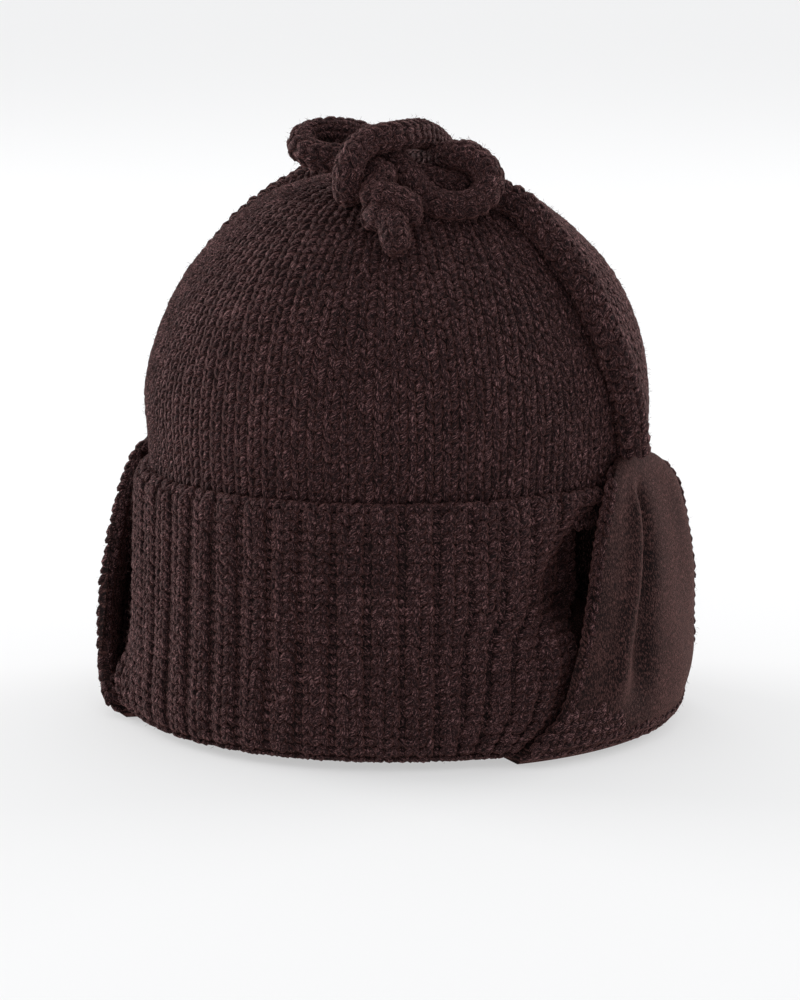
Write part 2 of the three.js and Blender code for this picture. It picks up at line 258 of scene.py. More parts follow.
class SoftTable:
    """A column of a table against height, with its corners rounded as cloth rounds them."""

    def __init__(self, heights: Sequence[float], values: Sequence[float], softness: float) -> None:
        """Samples and smooths the column.

        Args:
            heights: The rows' heights, rising.
            values: The column's values.
            softness: Millimetres over which corners are rounded.
        """
        step = 0.25
        pad = 3 * softness
        fine = np.arange(heights[0] - pad, heights[-1] + pad, step)
        raw = np.interp(fine, heights, values)
        reach = np.arange(-pad, pad + step / 2, step)
        weights = np.exp(-0.5 * (reach / softness) ** 2)
        padded = np.pad(raw, len(reach) // 2, mode="edge")
        self.heights = fine
        self.values = np.convolve(padded, weights / weights.sum(), mode="valid")[: len(fine)]

    def __call__(self, z: np.ndarray) -> np.ndarray:
        """Reads the column at heights z."""
        return np.interp(z, self.heights, self.values)


def spline_points(points: np.ndarray, per_span: int = 24) -> np.ndarray:
    """Samples a smooth curve through points.

    Args:
        points: The points that the curve passes through, one a row.
        per_span: Samples between two points.

    Returns:
        The samples, one a row.
    """
    ends = np.vstack([2 * points[0] - points[1], points, 2 * points[-1] - points[-2]])
    t = np.linspace(0, 1, per_span, endpoint=False)[:, None]
    spans = []
    for a, b, c, d in zip(ends, ends[1:], ends[2:], ends[3:]):
        spans.append(
            0.5 * (2 * b + (c - a) * t + (2 * a - 5 * b + 4 * c - d) * t**2 + (3 * b - a - 3 * c + d) * t**3)
        )
    return np.vstack([*spans, points[-1:]])


def along(points: np.ndarray) -> np.ndarray:
    """Distances along a line of points, from 0 at its start."""
    return np.concatenate([[0.0], np.cumsum(np.linalg.norm(np.diff(points, axis=0), axis=1))])


def evenly(points: np.ndarray, step: float) -> np.ndarray:
    """Points at even distances along a line.

    Args:
        points: The line's points, one a row.
        step: About how far apart the new points are.

    Returns:
        The new points, one a row.
    """
    run = along(points)
    count = max(2, int(round(run[-1] / step)) + 1)
    places = np.linspace(0, run[-1], count)
    return np.stack([np.interp(places, run, column) for column in points.T], axis=1)


def unit(vectors: np.ndarray) -> np.ndarray:
    """Vectors of the same directions and length 1."""
    return vectors / np.maximum(np.linalg.norm(vectors, axis=-1, keepdims=True), 1e-9)


def hollow(angle: np.ndarray, z: np.ndarray) -> np.ndarray:
    """How deep the cloth is pushed in where a cuff dives behind an ear flap, in millimetres.

    Args:
        angle: Degrees from the front towards the wearer's left.
        z: Height in millimetres.

    Returns:
        The depths.
    """
    turn = (angle + 180) % 360 - 180
    beside = np.minimum(np.abs(turn), 180 - np.abs(turn))
    from_fold = beside - HOLLOW_START - HOLLOW_LEAN * smooth_step(62, 92, z)
    place = smooth_step(0, 15, from_fold) * (1 - smooth_step(*HOLLOW_END, beside))
    face_side = (1 - smooth_step(*HOLLOW_END, turn)) * (turn > 0)
    deeper = HOLLOW_DEEPER * smooth_step(0, 17, from_fold) * face_side
    nape_share = 1 - 0.8 * smooth_step(84, 90, np.abs(turn))
    rise = smooth_step(42, 60, z) * (1 - smooth_step(80, 96, z))
    return nape_share * (HOLLOW_DEPTH * place + deeper) * rise


def mesh_object(name: str, points: np.ndarray, faces: Sequence[Sequence[int]]) -> bpy.types.Object:
    """A smooth mesh object.

    Args:
        name: The object's name.
        points: Corners in millimetres.
        faces: Corner numbers of each face, turning left round its outside.

    Returns:
        The object, linked to the scene.
    """
    mesh = bpy.data.meshes.new(name)
    mesh.from_pydata((np.asarray(points) * MM).tolist(), [], [list(map(int, face)) for face in faces])
    mesh.shade_smooth()
    made = bpy.data.objects.new(name, mesh)
    bpy.context.scene.collection.objects.link(made)
    return made


def grid_faces(rows: int, columns: int, closed: bool) -> list[tuple[int, int, int, int]]:
    """Faces over rows of points.

    Args:
        rows: How many rows of points there are.
        columns: How many points a row has.
        closed: Whether a row's last point joins its first.

    Returns:
        The faces.
    """
    last = columns if closed else columns - 1
    faces = []
    for i in range(rows - 1):
        for j in range(last):
            k = (j + 1) % columns
            faces.append((i * columns + j, i * columns + k, (i + 1) * columns + k, (i + 1) * columns + j))
    return faces


def closed_skin(name: str, loops: np.ndarray) -> bpy.types.Object:
    """A closed body over a run of closed loops, with its two end loops filled.

    Args:
        name: The object's name.
        loops: Points in millimetres, by loop and place round the loop.

    Returns:
        The object, with its faces pointing outwards.
    """
    rows, columns, _ = loops.shape
    faces: list[Sequence[int]] = list(grid_faces(rows, columns, True))
    faces.append(tuple(reversed(range(columns))))
    faces.append(tuple(range((rows - 1) * columns, rows * columns)))
    made = mesh_object(name, loops.reshape(-1, 3), faces)
    point_outwards(made.data)
    return made


def point_outwards(mesh: bpy.types.Mesh) -> None:
    """Turns a closed mesh's faces outwards, by the sign of its volume.

    Args:
        mesh: The mesh, one closed body.
    """
    mesh.calc_loop_triangles()
    corners = np.empty(len(mesh.vertices) * 3)
    mesh.vertices.foreach_get("co", corners)
    corners = corners.reshape(-1, 3)
    triangles = np.empty(len(mesh.loop_triangles) * 3, dtype=np.int64)
    mesh.loop_triangles.foreach_get("vertices", triangles)
    a, b, c = (corners[triangles.reshape(-1, 3)[:, i]] for i in range(3))
    if np.einsum("ij,ij->i", a, np.cross(b, c)).sum() < 0:
        mesh.flip_normals()


class StitchKind(Enum):
    """What a stitch's loop looks like from the side that shows."""

    KNIT_UP = "two legs that meet at their foot, like a V"
    KNIT_DOWN = "two legs that meet at their head, as on cloth turned up"
    PURL = "one bar across"


@dataclass
class StitchField:
    """Where the yarn's visible lengths lie on a piece, in millimetres.

    Each length is placed on a surface of two parameters, turned in the surface and given a size.
    """

    places: list[np.ndarray]
    turns: list[np.ndarray]
    sizes: list[np.ndarray]

    @classmethod
    def empty(cls) -> "StitchField":
        """A field with nothing on it."""
        return cls([], [], [])

    def lay(
        self,
        surface: Surface,
        u: np.ndarray,
        v: np.ndarray,
        steps: tuple[float, float],
        tilt: np.ndarray,
        lean: float,
        lift: float,
        size: np.ndarray,
    ) -> None:
        """Lays one length of yarn at each place.

        Args:
            surface: The surface, whose u runs to the right and v upwards seen from outside.
            u: First parameters.
            v: Second parameters.
            steps: Small steps of u and v, for the surface's slopes.
            tilt: Degrees by which the length turns from straight up towards the right.
            lean: Degrees by which its head sinks into the cloth.
            lift: How far its middle stands off the surface.
            size: Width, length and thickness of each.
        """
        middle = surface(u, v)
        across = surface(u + steps[0], v) - surface(u - steps[0], v)
        upward = surface(u, v + steps[1]) - surface(u, v - steps[1])
        out = unit(np.cross(across, upward))
        upward = unit(upward)
        across = np.cross(upward, out)
        turn = np.radians(tilt)[:, None]
        length_way = np.cos(turn) * upward + np.sin(turn) * across
        sink = math.radians(lean)
        length_way = math.cos(sink) * length_way - math.sin(sink) * out
        width_way = unit(np.cross(length_way, out))
        depth_way = np.cross(width_way, length_way)
        self.places.append(middle + lift * out)
        self.turns.append(np.stack([width_way, length_way, depth_way], axis=2))
        self.sizes.append(np.broadcast_to(size, (len(u), 3)))

    def seeds(self, name: str) -> bpy.types.Object:
        """A mesh of loose points that carries the turns and sizes.

        Args:
            name: The object's name.

        Returns:
            The object.
        """
        places = np.concatenate(self.places)
        turns = np.concatenate(self.turns)
        sizes = np.concatenate(self.sizes)
        made = mesh_object(name, places, [])
        spins = [tuple(Matrix(m).to_quaternion()) for m in turns.tolist()]
        turn = made.data.attributes.new("turn", "QUATERNION", "POINT")
        turn.data.foreach_set("value", np.array(spins, dtype=np.float32).ravel())
        stretch = made.data.attributes.new("stretch", "FLOAT_VECTOR", "POINT")
        stretch.data.foreach_set("vector", (sizes * MM).astype(np.float32).ravel())
        return made


@dataclass
class StitchLayout:
    """How a run of knit columns is laid, with the unevenness of a hand's tension.

    A leg is one visible length of yarn, measured in millimetres. It is turned from the column by tilt and
    sinks into the cloth at one end by lean, both in degrees, and its middle stands off the cloth by lift.
    """

    leg_width: float = 3.15
    leg_length: float = 6.4
    leg_depth: float = 2.3
    tilt: float = 24.0
    lean: float = 10.0
    lift: float = -0.5
    seed: int = 1

    def columns(
        self,
        field: StitchField,
        kind: StitchKind,
        surface: Surface,
        u: np.ndarray,
        v: np.ndarray,
        wale: np.ndarray,
        steps: tuple[float, float],
        breadth: np.ndarray | float = 1.0,
    ) -> None:
        """Lays stitches at given middles.

        Args:
            field: Where they are added.
            kind: Which side of the stitch shows.
            surface: The surface that they lie on.
            u: First parameter of each stitch's middle.
            v: Second parameter of each stitch's middle.
            wale: Width of each stitch's column in units of u.
            steps: Small steps of u and v.
            breadth: Width of each stitch's yarn against this layout's.
        """
        chance = np.random.default_rng(self.seed)
        count = len(u)
        if kind is StitchKind.PURL:
            size = np.array([self.leg_width, self.leg_length, self.leg_depth])
            sizes = size * (1 + 0.07 * chance.standard_normal((count, 3)))
            tilt = 90 + 8 * chance.standard_normal(count)
            field.lay(surface, u, v, steps, tilt, 0.0, self.lift, sizes)
            return
        size = np.array([self.leg_width, self.leg_length, self.leg_depth]) * np.ones((count, 1))
        size[:, 0] *= breadth
        up = 1.0 if kind is StitchKind.KNIT_UP else -1.0
        slack = 1 + 0.05 * chance.standard_normal((count, 1))
        for side in (-1.0, 1.0):
            sizes = size * slack * (1 + 0.06 * chance.standard_normal((count, 3)))
            shift = wale * (0.25 * side + 0.025 * chance.standard_normal(count))
            jitter = steps[1] * 0.22 * chance.standard_normal(count)
            tilt = up * side * (self.tilt + 4.5 * chance.standard_normal(count))
            field.lay(surface, u + shift, v + jitter, steps, tilt, up * self.lean, self.lift, sizes)


@dataclass(frozen=True)
class YarnLength:
    """The piece of yarn that shows in one leg of a loop: plump, tapered and a little bowed."""

    sides: int = 5
    rings: tuple[tuple[float, float], ...] = ((-0.34, 0.74), (0.02, 1.0), (0.36, 0.68))
    bow: float = 0.12

    def build(self, name: str) -> bpy.types.Object:
        """Makes it, one unit wide, long and deep, with a map of its length and girth.

        Args:
            name: The object's name.

        Returns:
            The object.
        """
        points = [(0.0, -0.5, -0.12)]
        for y, girth in self.rings:
            for k in range(self.sides):
                turn = 2 * math.pi * k / self.sides
                bowed = self.bow * (1 - 4 * y * y)
                points.append((0.5 * girth * math.cos(turn), y, 0.5 * girth * math.sin(turn) + bowed - 0.06))
        points.append((0.0, 0.5, -0.12))
        last = len(points) - 1
        faces: list[Sequence[int]] = []
        for k in range(self.sides):
            n = (k + 1) % self.sides
            faces.append((0, 1 + k, 1 + n))
            for i in range(len(self.rings) - 1):
                low, high = 1 + i * self.sides, 1 + (i + 1) * self.sides
                faces.append((low + n, low + k, high + k, high + n))
            top = 1 + (len(self.rings) - 1) * self.sides
            faces.append((top + n, top + k, last))
        made = mesh_object(name, np.array(points) / MM, faces)
        point_outwards(made.data)
        layer = made.data.uv_layers.new(name="yarn")
        for face in made.data.polygons:
            turns = [self._turn(points[made.data.loops[i].vertex_index]) for i in face.loop_indices]
            for i, turn in zip(face.loop_indices, turns):
                if turn < max(turns) - 0.5:
                    turn += 1.0
                layer.data[i].uv = (turn, points[made.data.loops[i].vertex_index][1] + 0.5)
        return made

    @staticmethod
    def _turn(point: tuple[float, float, float]) -> float:
        """How far round the yarn a corner is, from 0 to 1."""
        return (math.atan2(point[2], point[0]) / (2 * math.pi)) % 1.0


@dataclass(frozen=True)
class HeatherWool:
    """Bulky wool yarn, spun from dyed fibres of several browns and brushed by wear.

    Matt, with a soft bright rim where loose fibres catch the light from behind. Its colour follows the same
    fibre pattern
    as its bumps: pale flecks on the raised fibres along the ply and a darker core in the hollows between the
    plies, both partly the fibres' own mixed browns and partly painted highlight and painted shade. A real
    fibre is about
    0.03 mm thick, too fine to show, so fibres are drawn as strands of 0.36 mm.
    """

    name: str
    dark: str = "0f0707"
    body: str = "241516"
    warm: str = "3c2627"
    fleck: str = "8c6666"
    girth_mm: float = 9.5
    length_mm: float = LEG_LENGTH
    fibre_mm: float = 0.36
    fibre_long_mm: float = 1.5
    speck_mm: float = 0.5
    tone_mm: float = 18.0
    sheen: float = 0.36
    bump_mm: float = 0.4
    on_yarn: bool = True

    def build(self) -> bpy.types.Material:
        """Makes the material.

        Returns:
            The material.
        """
        made = bpy.data.materials.new(self.name)
        made.use_nodes = True
        tree = made.node_tree
        tree.nodes.clear()
        chance = add_node(tree, "ShaderNodeAttribute", {"attribute_name": "heather"})
        place = add_node(tree, "ShaderNodeTexCoord")
        fibres = add_node(
            tree,
            "ShaderNodeTexNoise",
            inputs={"Vector": self._fibre_place(tree), "Scale": 1.0, "Detail": 2.0, "Roughness": 0.7},
        )
        speck = add_node(
            tree,
            "ShaderNodeTexNoise",
            inputs={
                "Vector": place.outputs["Object"],
                "Scale": 1000 / self.speck_mm,
                "Detail": 1.0,
                "Roughness": 0.6,
            },
        )
        patches = add_node(
            tree,
            "ShaderNodeTexNoise",
            inputs={"Vector": place.outputs["Object"], "Scale": 1000 / self.tone_mm, "Detail": 2.0},
        )
        spun = add_node(
            tree, "ShaderNodeMath", ADD_SHARE, {0: speck.outputs["Fac"], 1: 0.4, 2: fibres.outputs["Fac"]}
        )
        toned = add_node(
            tree, "ShaderNodeMath", ADD_SHARE, {0: patches.outputs["Fac"], 1: 0.06, 2: spun.outputs[0]}
        )
        own = add_node(
            tree, "ShaderNodeMath", ADD_SHARE, {0: chance.outputs["Fac"], 1: 0.03, 2: toned.outputs[0]}
        )
        spread = add_node(
            tree, "ShaderNodeMapRange", inputs={"Value": own.outputs[0], "From Min": 0.57, "From Max": 0.95}
        )
        # The colour reads the same pattern as the bump below: sunk fibres are painted darker as shade and
        # raised ones paler as highlight, over the yarn's own mixed browns.
        shade = add_node(tree, "ShaderNodeValToRGB", inputs={"Fac": spread.outputs["Result"]})
        ramp = shade.color_ramp
        ramp.elements[0].position = 0.1
        ramp.elements[0].color = linear_colour(self.dark)
        ramp.elements[1].position = 0.92
        ramp.elements[1].color = linear_colour(self.fleck)
        for position, colour in ((0.42, self.body), (0.66, self.warm)):
            ramp.elements.new(position).color = linear_colour(colour)
        bump = add_node(
            tree,
            "ShaderNodeBump",
            inputs={"Strength": 1.0, "Distance": self.bump_mm * MM, "Height": spun.outputs[0]},
        )
        shader = add_node(
            tree,
            "ShaderNodeBsdfPrincipled",
            inputs={
                "Base Color": shade.outputs["Color"],
                "Roughness": 0.92,
                "Specular IOR Level": 0.15,
                "Sheen Weight": self.sheen,
                "Sheen Roughness": 0.3,
                "Sheen Tint": linear_colour("b8766c"),
                "Normal": bump.outputs["Normal"],
            },
        )
        add_node(tree, "ShaderNodeOutputMaterial", inputs={"Surface": shader.outputs["BSDF"]})
        return made

    def _fibre_place(self, tree: bpy.types.NodeTree) -> bpy.types.NodeSocket:
        """Where the fibres' pattern is read: along the ply of a stitch's yarn, or straight up in other cloth.

        Args:
            tree: The shader tree.

        Returns:
            The place's socket, in fibre widths and lengths.
        """
        if not self.on_yarn:
            place = add_node(tree, "ShaderNodeTexCoord")
            wide, tall = 1000 / self.fibre_mm, 1000 / self.fibre_long_mm
            upright = add_node(
                tree,
                "ShaderNodeMapping",
                inputs={"Vector": place.outputs["Object"], "Scale": (wide, wide, tall)},
            )
            return upright.outputs["Vector"]
        grain = add_node(tree, "ShaderNodeUVMap", {"uv_map": "yarn"})
        chance = add_node(tree, "ShaderNodeAttribute", {"attribute_name": "heather"})
        split = add_node(tree, "ShaderNodeSeparateXYZ", inputs={"Vector": grain.outputs["UV"]})
        # Fibres lie along the ply, which goes half round the yarn in a leg's length.
        twist = add_node(
            tree, "ShaderNodeMath", ADD_SHARE, {0: split.outputs["Y"], 1: 0.55, 2: split.outputs["X"]}
        )
        on_ply = add_node(
            tree,
            "ShaderNodeCombineXYZ",
            inputs={"X": twist.outputs[0], "Y": split.outputs["Y"], "Z": chance.outputs["Fac"]},
        )
        # The last number sets each stitch's pattern far from its neighbours'.
        scale = (self.girth_mm / self.fibre_mm, self.length_mm / self.fibre_long_mm, 91.0)
        scaled = add_node(
            tree, "ShaderNodeVectorMath", {"operation": "MULTIPLY"}, {0: on_ply.outputs["Vector"], 1: scale}
        )
        return scaled.outputs["Vector"]


@dataclass(frozen=True)
class LooseFibre:
    """Single wool fibres that stand off the yarn. They catch the light, so the eye sees a pale soft haze."""

    name: str
    dark: str = "241515"
    # Paler than the yarn: this colour is partly a painted highlight for the light that the fibres catch, over
    # their own brown.
    colour: str = "523735"
    tone_mm: float = 1.5

    def build(self) -> bpy.types.Material:
        """Makes the material.

        Returns:
            The material.
        """
        made = bpy.data.materials.new(self.name)
        made.use_nodes = True
        tree = made.node_tree
        tree.nodes.clear()
        place = add_node(tree, "ShaderNodeTexCoord")
        mix = add_node(
            tree,
            "ShaderNodeTexNoise",
            inputs={"Vector": place.outputs["Object"], "Scale": 1000 / self.tone_mm, "Detail": 1.0},
        )
        shade = add_node(tree, "ShaderNodeValToRGB", inputs={"Fac": mix.outputs["Fac"]})
        ramp = shade.color_ramp
        ramp.elements[0].position = 0.35
        ramp.elements[0].color = linear_colour(self.dark)
        ramp.elements[1].position = 0.65
        ramp.elements[1].color = linear_colour(self.colour)
        shader = add_node(
            tree,
            "ShaderNodeBsdfPrincipled",
            inputs={
                "Base Color": shade.outputs["Color"],
                "Roughness": 0.7,
                "Specular IOR Level": 0.3,
                "Sheen Weight": 0.4,
                "Sheen Tint": linear_colour("c99a8e"),
            },
        )
        add_node(tree, "ShaderNodeOutputMaterial", inputs={"Surface": shader.outputs["BSDF"]})
        return made


@dataclass(frozen=True)
class BrushedFacing:
    """Fine wool knit, brushed on its face. It lines the ear flaps.

    Brushing melts its rows into soft upright streaks with a pale bloom where light comes from behind. The
    streaks are strands of fibres, drawn 0.36 mm wide, because single fibres are too fine to show.
    """

    name: str
    dark: str = "0c0606"
    middle: str = "190d0d"
    light: str = "573a37"
    streak_mm: float = 0.36
    streak_long_mm: float = 1.5
    wale_mm: float = 2.3
    course_mm: float = 1.9
    fuzz_mm: float = 0.42
    stray_mm: float = 6.0
    tone_mm: float = 14.0
    bump_mm: float = 0.32
    sheen: float = 0.3

    def build(self) -> bpy.types.Material:
        """Makes the material.

        Returns:
            The material.
        """
        made = bpy.data.materials.new(self.name)
        made.use_nodes = True
        tree = made.node_tree
        tree.nodes.clear()
        cloth = add_node(tree, "ShaderNodeUVMap", {"uv_map": "cloth"})
        place = add_node(tree, "ShaderNodeTexCoord")
        stray = add_node(
            tree,
            "ShaderNodeTexNoise",
            inputs={"Vector": place.outputs["Object"], "Scale": 1000 / self.stray_mm, "Detail": 3.0},
        )
        nudge = add_node(
            tree,
            "ShaderNodeVectorMath",
            ADD_SHARE,
            {0: stray.outputs["Color"], 1: (1.2, 1.2, 0.0), 2: cloth.outputs["UV"]},
        )
        drawn = add_node(
            tree,
            "ShaderNodeMapping",
            inputs={
                "Vector": nudge.outputs[0],
                "Scale": (1 / self.streak_mm, 1 / self.streak_long_mm, 1.0),
            },
        )
        streaks = add_node(
            tree,
            "ShaderNodeTexNoise",
            inputs={"Vector": drawn.outputs["Vector"], "Scale": 1.0, "Detail": 3.0, "Roughness": 0.65},
        )
        looped = add_node(
            tree,
            "ShaderNodeMapping",
            inputs={"Vector": nudge.outputs[0], "Scale": (1 / self.wale_mm, 1 / self.course_mm, 1.0)},
        )
        loops = add_node(
            tree,
            "ShaderNodeTexVoronoi",
            {"feature": "SMOOTH_F1"},
            {"Vector": looped.outputs["Vector"], "Scale": 1.0, "Randomness": 0.55, "Smoothness": 0.6},
        )
        fuzz = add_node(
            tree,
            "ShaderNodeTexNoise",
            inputs={
                "Vector": place.outputs["Object"],
                "Scale": 1000 / self.fuzz_mm,
                "Detail": 1.0,
                "Roughness": 0.7,
            },
        )
        patches = add_node(
            tree,
            "ShaderNodeTexNoise",
            inputs={"Vector": place.outputs["Object"], "Scale": 1000 / self.tone_mm, "Detail": 3.0},
        )
        hairs = add_node(
            tree,
            "ShaderNodeMath",
            ADD_SHARE,
            {0: fuzz.outputs["Fac"], 1: 0.35, 2: streaks.outputs["Fac"]},
        )
        height = add_node(
            tree,
            "ShaderNodeMath",
            ADD_SHARE,
            {0: loops.outputs["Distance"], 1: -0.15, 2: hairs.outputs[0]},
        )
        toned = add_node(
            tree,
            "ShaderNodeMath",
            ADD_SHARE,
            {0: patches.outputs["Fac"], 1: 0.15, 2: height.outputs[0]},
        )
        spread = add_node(
            tree, "ShaderNodeMapRange", inputs={"Value": toned.outputs[0], "From Min": 0.5, "From Max": 0.84}
        )
        shade = add_node(tree, "ShaderNodeValToRGB", inputs={"Fac": spread.outputs["Result"]})
        ramp = shade.color_ramp
        ramp.elements[0].position = 0.15
        ramp.elements[0].color = linear_colour(self.dark)
        ramp.elements[1].position = 0.95
        ramp.elements[1].color = linear_colour(self.light)
        middle = ramp.elements.new(0.55)
        middle.color = linear_colour(self.middle)
        bump = add_node(
            tree,
            "ShaderNodeBump",
            inputs={"Strength": 1.0, "Distance": self.bump_mm * MM, "Height": height.outputs[0]},
        )
        shader = add_node(
            tree,
            "ShaderNodeBsdfPrincipled",
            inputs={
                "Base Color": shade.outputs["Color"],
                "Roughness": 0.95,
                "Specular IOR Level": 0.12,
                "Sheen Weight": self.sheen,
                "Sheen Roughness": 0.3,
                "Sheen Tint": linear_colour("c47a6c"),
                "Normal": bump.outputs["Normal"],
            },
        )
        add_node(tree, "ShaderNodeOutputMaterial", inputs={"Surface": shader.outputs["BSDF"]})
        return made


@dataclass(frozen=True)
class FibreShape:
    """One loose fibre: a bent sliver, pointed at both ends. It is drawn thicker than real wool, to show."""

    length_mm: float = 2.1
    thick_mm: float = 0.11
    bend_mm: float = 0.5

    def build(self, name: str) -> bpy.types.Object:
        """Makes it, standing on its root.

        Args:
            name: The object's name.

        Returns:
            The object.
        """
        points = [(0.0, 0.0, 0.0)]
        r = self.thick_mm / 2
        for k in range(3):
            turn = 2 * math.pi * k / 3
            points.append((r * math.cos(turn) + self.bend_mm, r * math.sin(turn), 0.5 * self.length_mm))
        points.append((0.2 * self.bend_mm, 0.5 * self.bend_mm, self.length_mm))
        faces = [(0, 1 + (k + 1) % 3, 1 + k) for k in range(3)]
        faces += [(1 + k, 1 + (k + 1) % 3, 4) for k in range(3)]
        made = mesh_object(name, np.array(points), faces)
        point_outwards(made.data)
        return made


@dataclass(frozen=True)
class Nap:
    """How a piece is brushed: fibres to a square metre, how far they lean over, and which faces bear them."""

    density: float = 115000.0
    lean_low: float = 0.7
    lean_high: float = 1.45
    size_low: float = 0.5
    size_high: float = 1.25
    middle: tuple[float, float, float] = (0.0, 0.0, 0.1)
    facing: float = 0.1


class KnitFabric:
    """Grows stitches out of a field, joins them to the cloth behind them and brushes up a nap of fibres."""

    def __init__(
        self, yarn: bpy.types.Material, backing: bpy.types.Material, fibre: bpy.types.Material
    ) -> None:
        """Builds the tree once.

        Args:
            yarn: The material of the stitches.
            backing: The material of the cloth behind them, darker than the yarn as painted shade between
                them.
            fibre: The material of the nap.
        """
        self.yarn = yarn
        self.backing = backing
        self.fibre = fibre
        self.length = YarnLength().build("yarn_length")
        self.sliver = FibreShape().build("loose_fibre")
        self.tree = self._tree()
        self.inputs = {
            item.name: item.identifier
            for item in self.tree.interface.items_tree
            if item.item_type == "SOCKET" and item.in_out == "INPUT"
        }

    def _tree(self) -> bpy.types.NodeTree:
        """The geometry nodes.

        Returns:
            The tree.
        """
        tree = bpy.data.node_groups.new("knit_fabric", "GeometryNodeTree")
        tree.is_modifier = True
        for name, kind in (
            ("Seeds", "NodeSocketGeometry"),
            ("Yarn Length", "NodeSocketObject"),
            ("Cloth", "NodeSocketObject"),
            ("Loose Fibre", "NodeSocketObject"),
            ("Yarn", "NodeSocketMaterial"),
            ("Backing", "NodeSocketMaterial"),
            ("Fibre", "NodeSocketMaterial"),
            ("Unevenness", "NodeSocketFloat"),
            ("Nap Density", "NodeSocketFloat"),
            ("Nap Lean Low", "NodeSocketVector"),
            ("Nap Lean High", "NodeSocketVector"),
            ("Nap Size Low", "NodeSocketFloat"),
            ("Nap Size High", "NodeSocketFloat"),
            ("Middle", "NodeSocketVector"),
            ("Facing", "NodeSocketFloat"),
            ("Seed", "NodeSocketInt"),
        ):
            tree.interface.new_socket(name, in_out="INPUT", socket_type=kind)
        tree.interface.new_socket("Fabric", in_out="OUTPUT", socket_type="NodeSocketGeometry")
        given = add_node(tree, "NodeGroupInput").outputs
        stitches = self._stitches(tree, given)
        cloth = add_node(tree, "GeometryNodeObjectInfo", inputs={"Object": given["Cloth"]})
        backed = add_node(
            tree,
            "GeometryNodeSetMaterial",
            inputs={"Geometry": cloth.outputs["Geometry"], "Material": given["Backing"]},
        )
        joined = add_node(tree, "GeometryNodeJoinGeometry")
        tree.links.new(stitches, joined.inputs[0])
        tree.links.new(backed.outputs["Geometry"], joined.inputs[0])
        knitted = add_node(tree, "GeometryNodeRealizeInstances", inputs={"Geometry": joined.outputs[0]})
        nap = self._nap(tree, given, knitted.outputs["Geometry"])
        brushed = add_node(tree, "GeometryNodeJoinGeometry")
        tree.links.new(knitted.outputs["Geometry"], brushed.inputs[0])
        tree.links.new(nap, brushed.inputs[0])
        whole = add_node(tree, "GeometryNodeRealizeInstances", inputs={"Geometry": brushed.outputs[0]})
        mark = add_node(tree, "GeometryNodeInputNamedAttribute", {"data_type": "FLOAT"}, {"Name": "nap"})
        is_nap = add_node(
            tree,
            "FunctionNodeCompare",
            MORE_THAN,
            {0: mark.outputs["Attribute"], 1: 0.5},
        )
        finished = add_node(
            tree,
            "GeometryNodeSetMaterial",
            inputs={
                "Geometry": whole.outputs["Geometry"],
                "Selection": is_nap.outputs["Result"],
                "Material": given["Fibre"],
            },
        )
        add_node(tree, "NodeGroupOutput", inputs={"Fabric": finished.outputs["Geometry"]})
        return tree

    @staticmethod
    def _stitches(
        tree: bpy.types.NodeTree, given: bpy.types.bpy_prop_collection
    ) -> bpy.types.NodeSocket:
        """The part of the tree that sets a yarn length on each seed.

        Args:
            tree: The tree.
            given: The tree's inputs.

        Returns:
            The socket of the dyed stitches, still instances.
        """
        length = add_node(tree, "GeometryNodeObjectInfo", inputs={"Object": given["Yarn Length"]})
        dyed = add_node(
            tree,
            "GeometryNodeSetMaterial",
            inputs={"Geometry": length.outputs["Geometry"], "Material": given["Yarn"]},
        )
        turn = add_node(
            tree, "GeometryNodeInputNamedAttribute", {"data_type": "QUATERNION"}, {"Name": "turn"}
        )
        stretch = add_node(
            tree, "GeometryNodeInputNamedAttribute", {"data_type": "FLOAT_VECTOR"}, {"Name": "stretch"}
        )
        chance = add_node(
            tree,
            "FunctionNodeRandomValue",
            {"data_type": "FLOAT"},
            {"Min": -1.0, "Max": 1.0, "Seed": given["Seed"]},
        )
        uneven = add_node(
            tree,
            "ShaderNodeMath",
            ADD_SHARE,
            {0: chance.outputs["Value"], 1: given["Unevenness"], 2: 1.0},
        )
        size = add_node(
            tree,
            "ShaderNodeVectorMath",
            {"operation": "SCALE"},
            {0: stretch.outputs["Attribute"], "Scale": uneven.outputs[0]},
        )
        grown = add_node(
            tree,
            "GeometryNodeInstanceOnPoints",
            inputs={
                "Points": given["Seeds"],
                "Instance": dyed.outputs["Geometry"],
                "Rotation": turn.outputs["Attribute"],
                "Scale": size.outputs["Vector"],
            },
        )
        tone = add_node(
            tree,
            "FunctionNodeRandomValue",
            {"data_type": "FLOAT"},
            {"Min": 0.05, "Max": 1.0, "Seed": given["Seed"]},
        )
        toned = add_node(
            tree,
            "GeometryNodeStoreNamedAttribute",
            {"data_type": "FLOAT", "domain": "INSTANCE"},
            {"Geometry": grown.outputs["Instances"], "Name": "heather", "Value": tone.outputs["Value"]},
        )
        return toned.outputs["Geometry"]

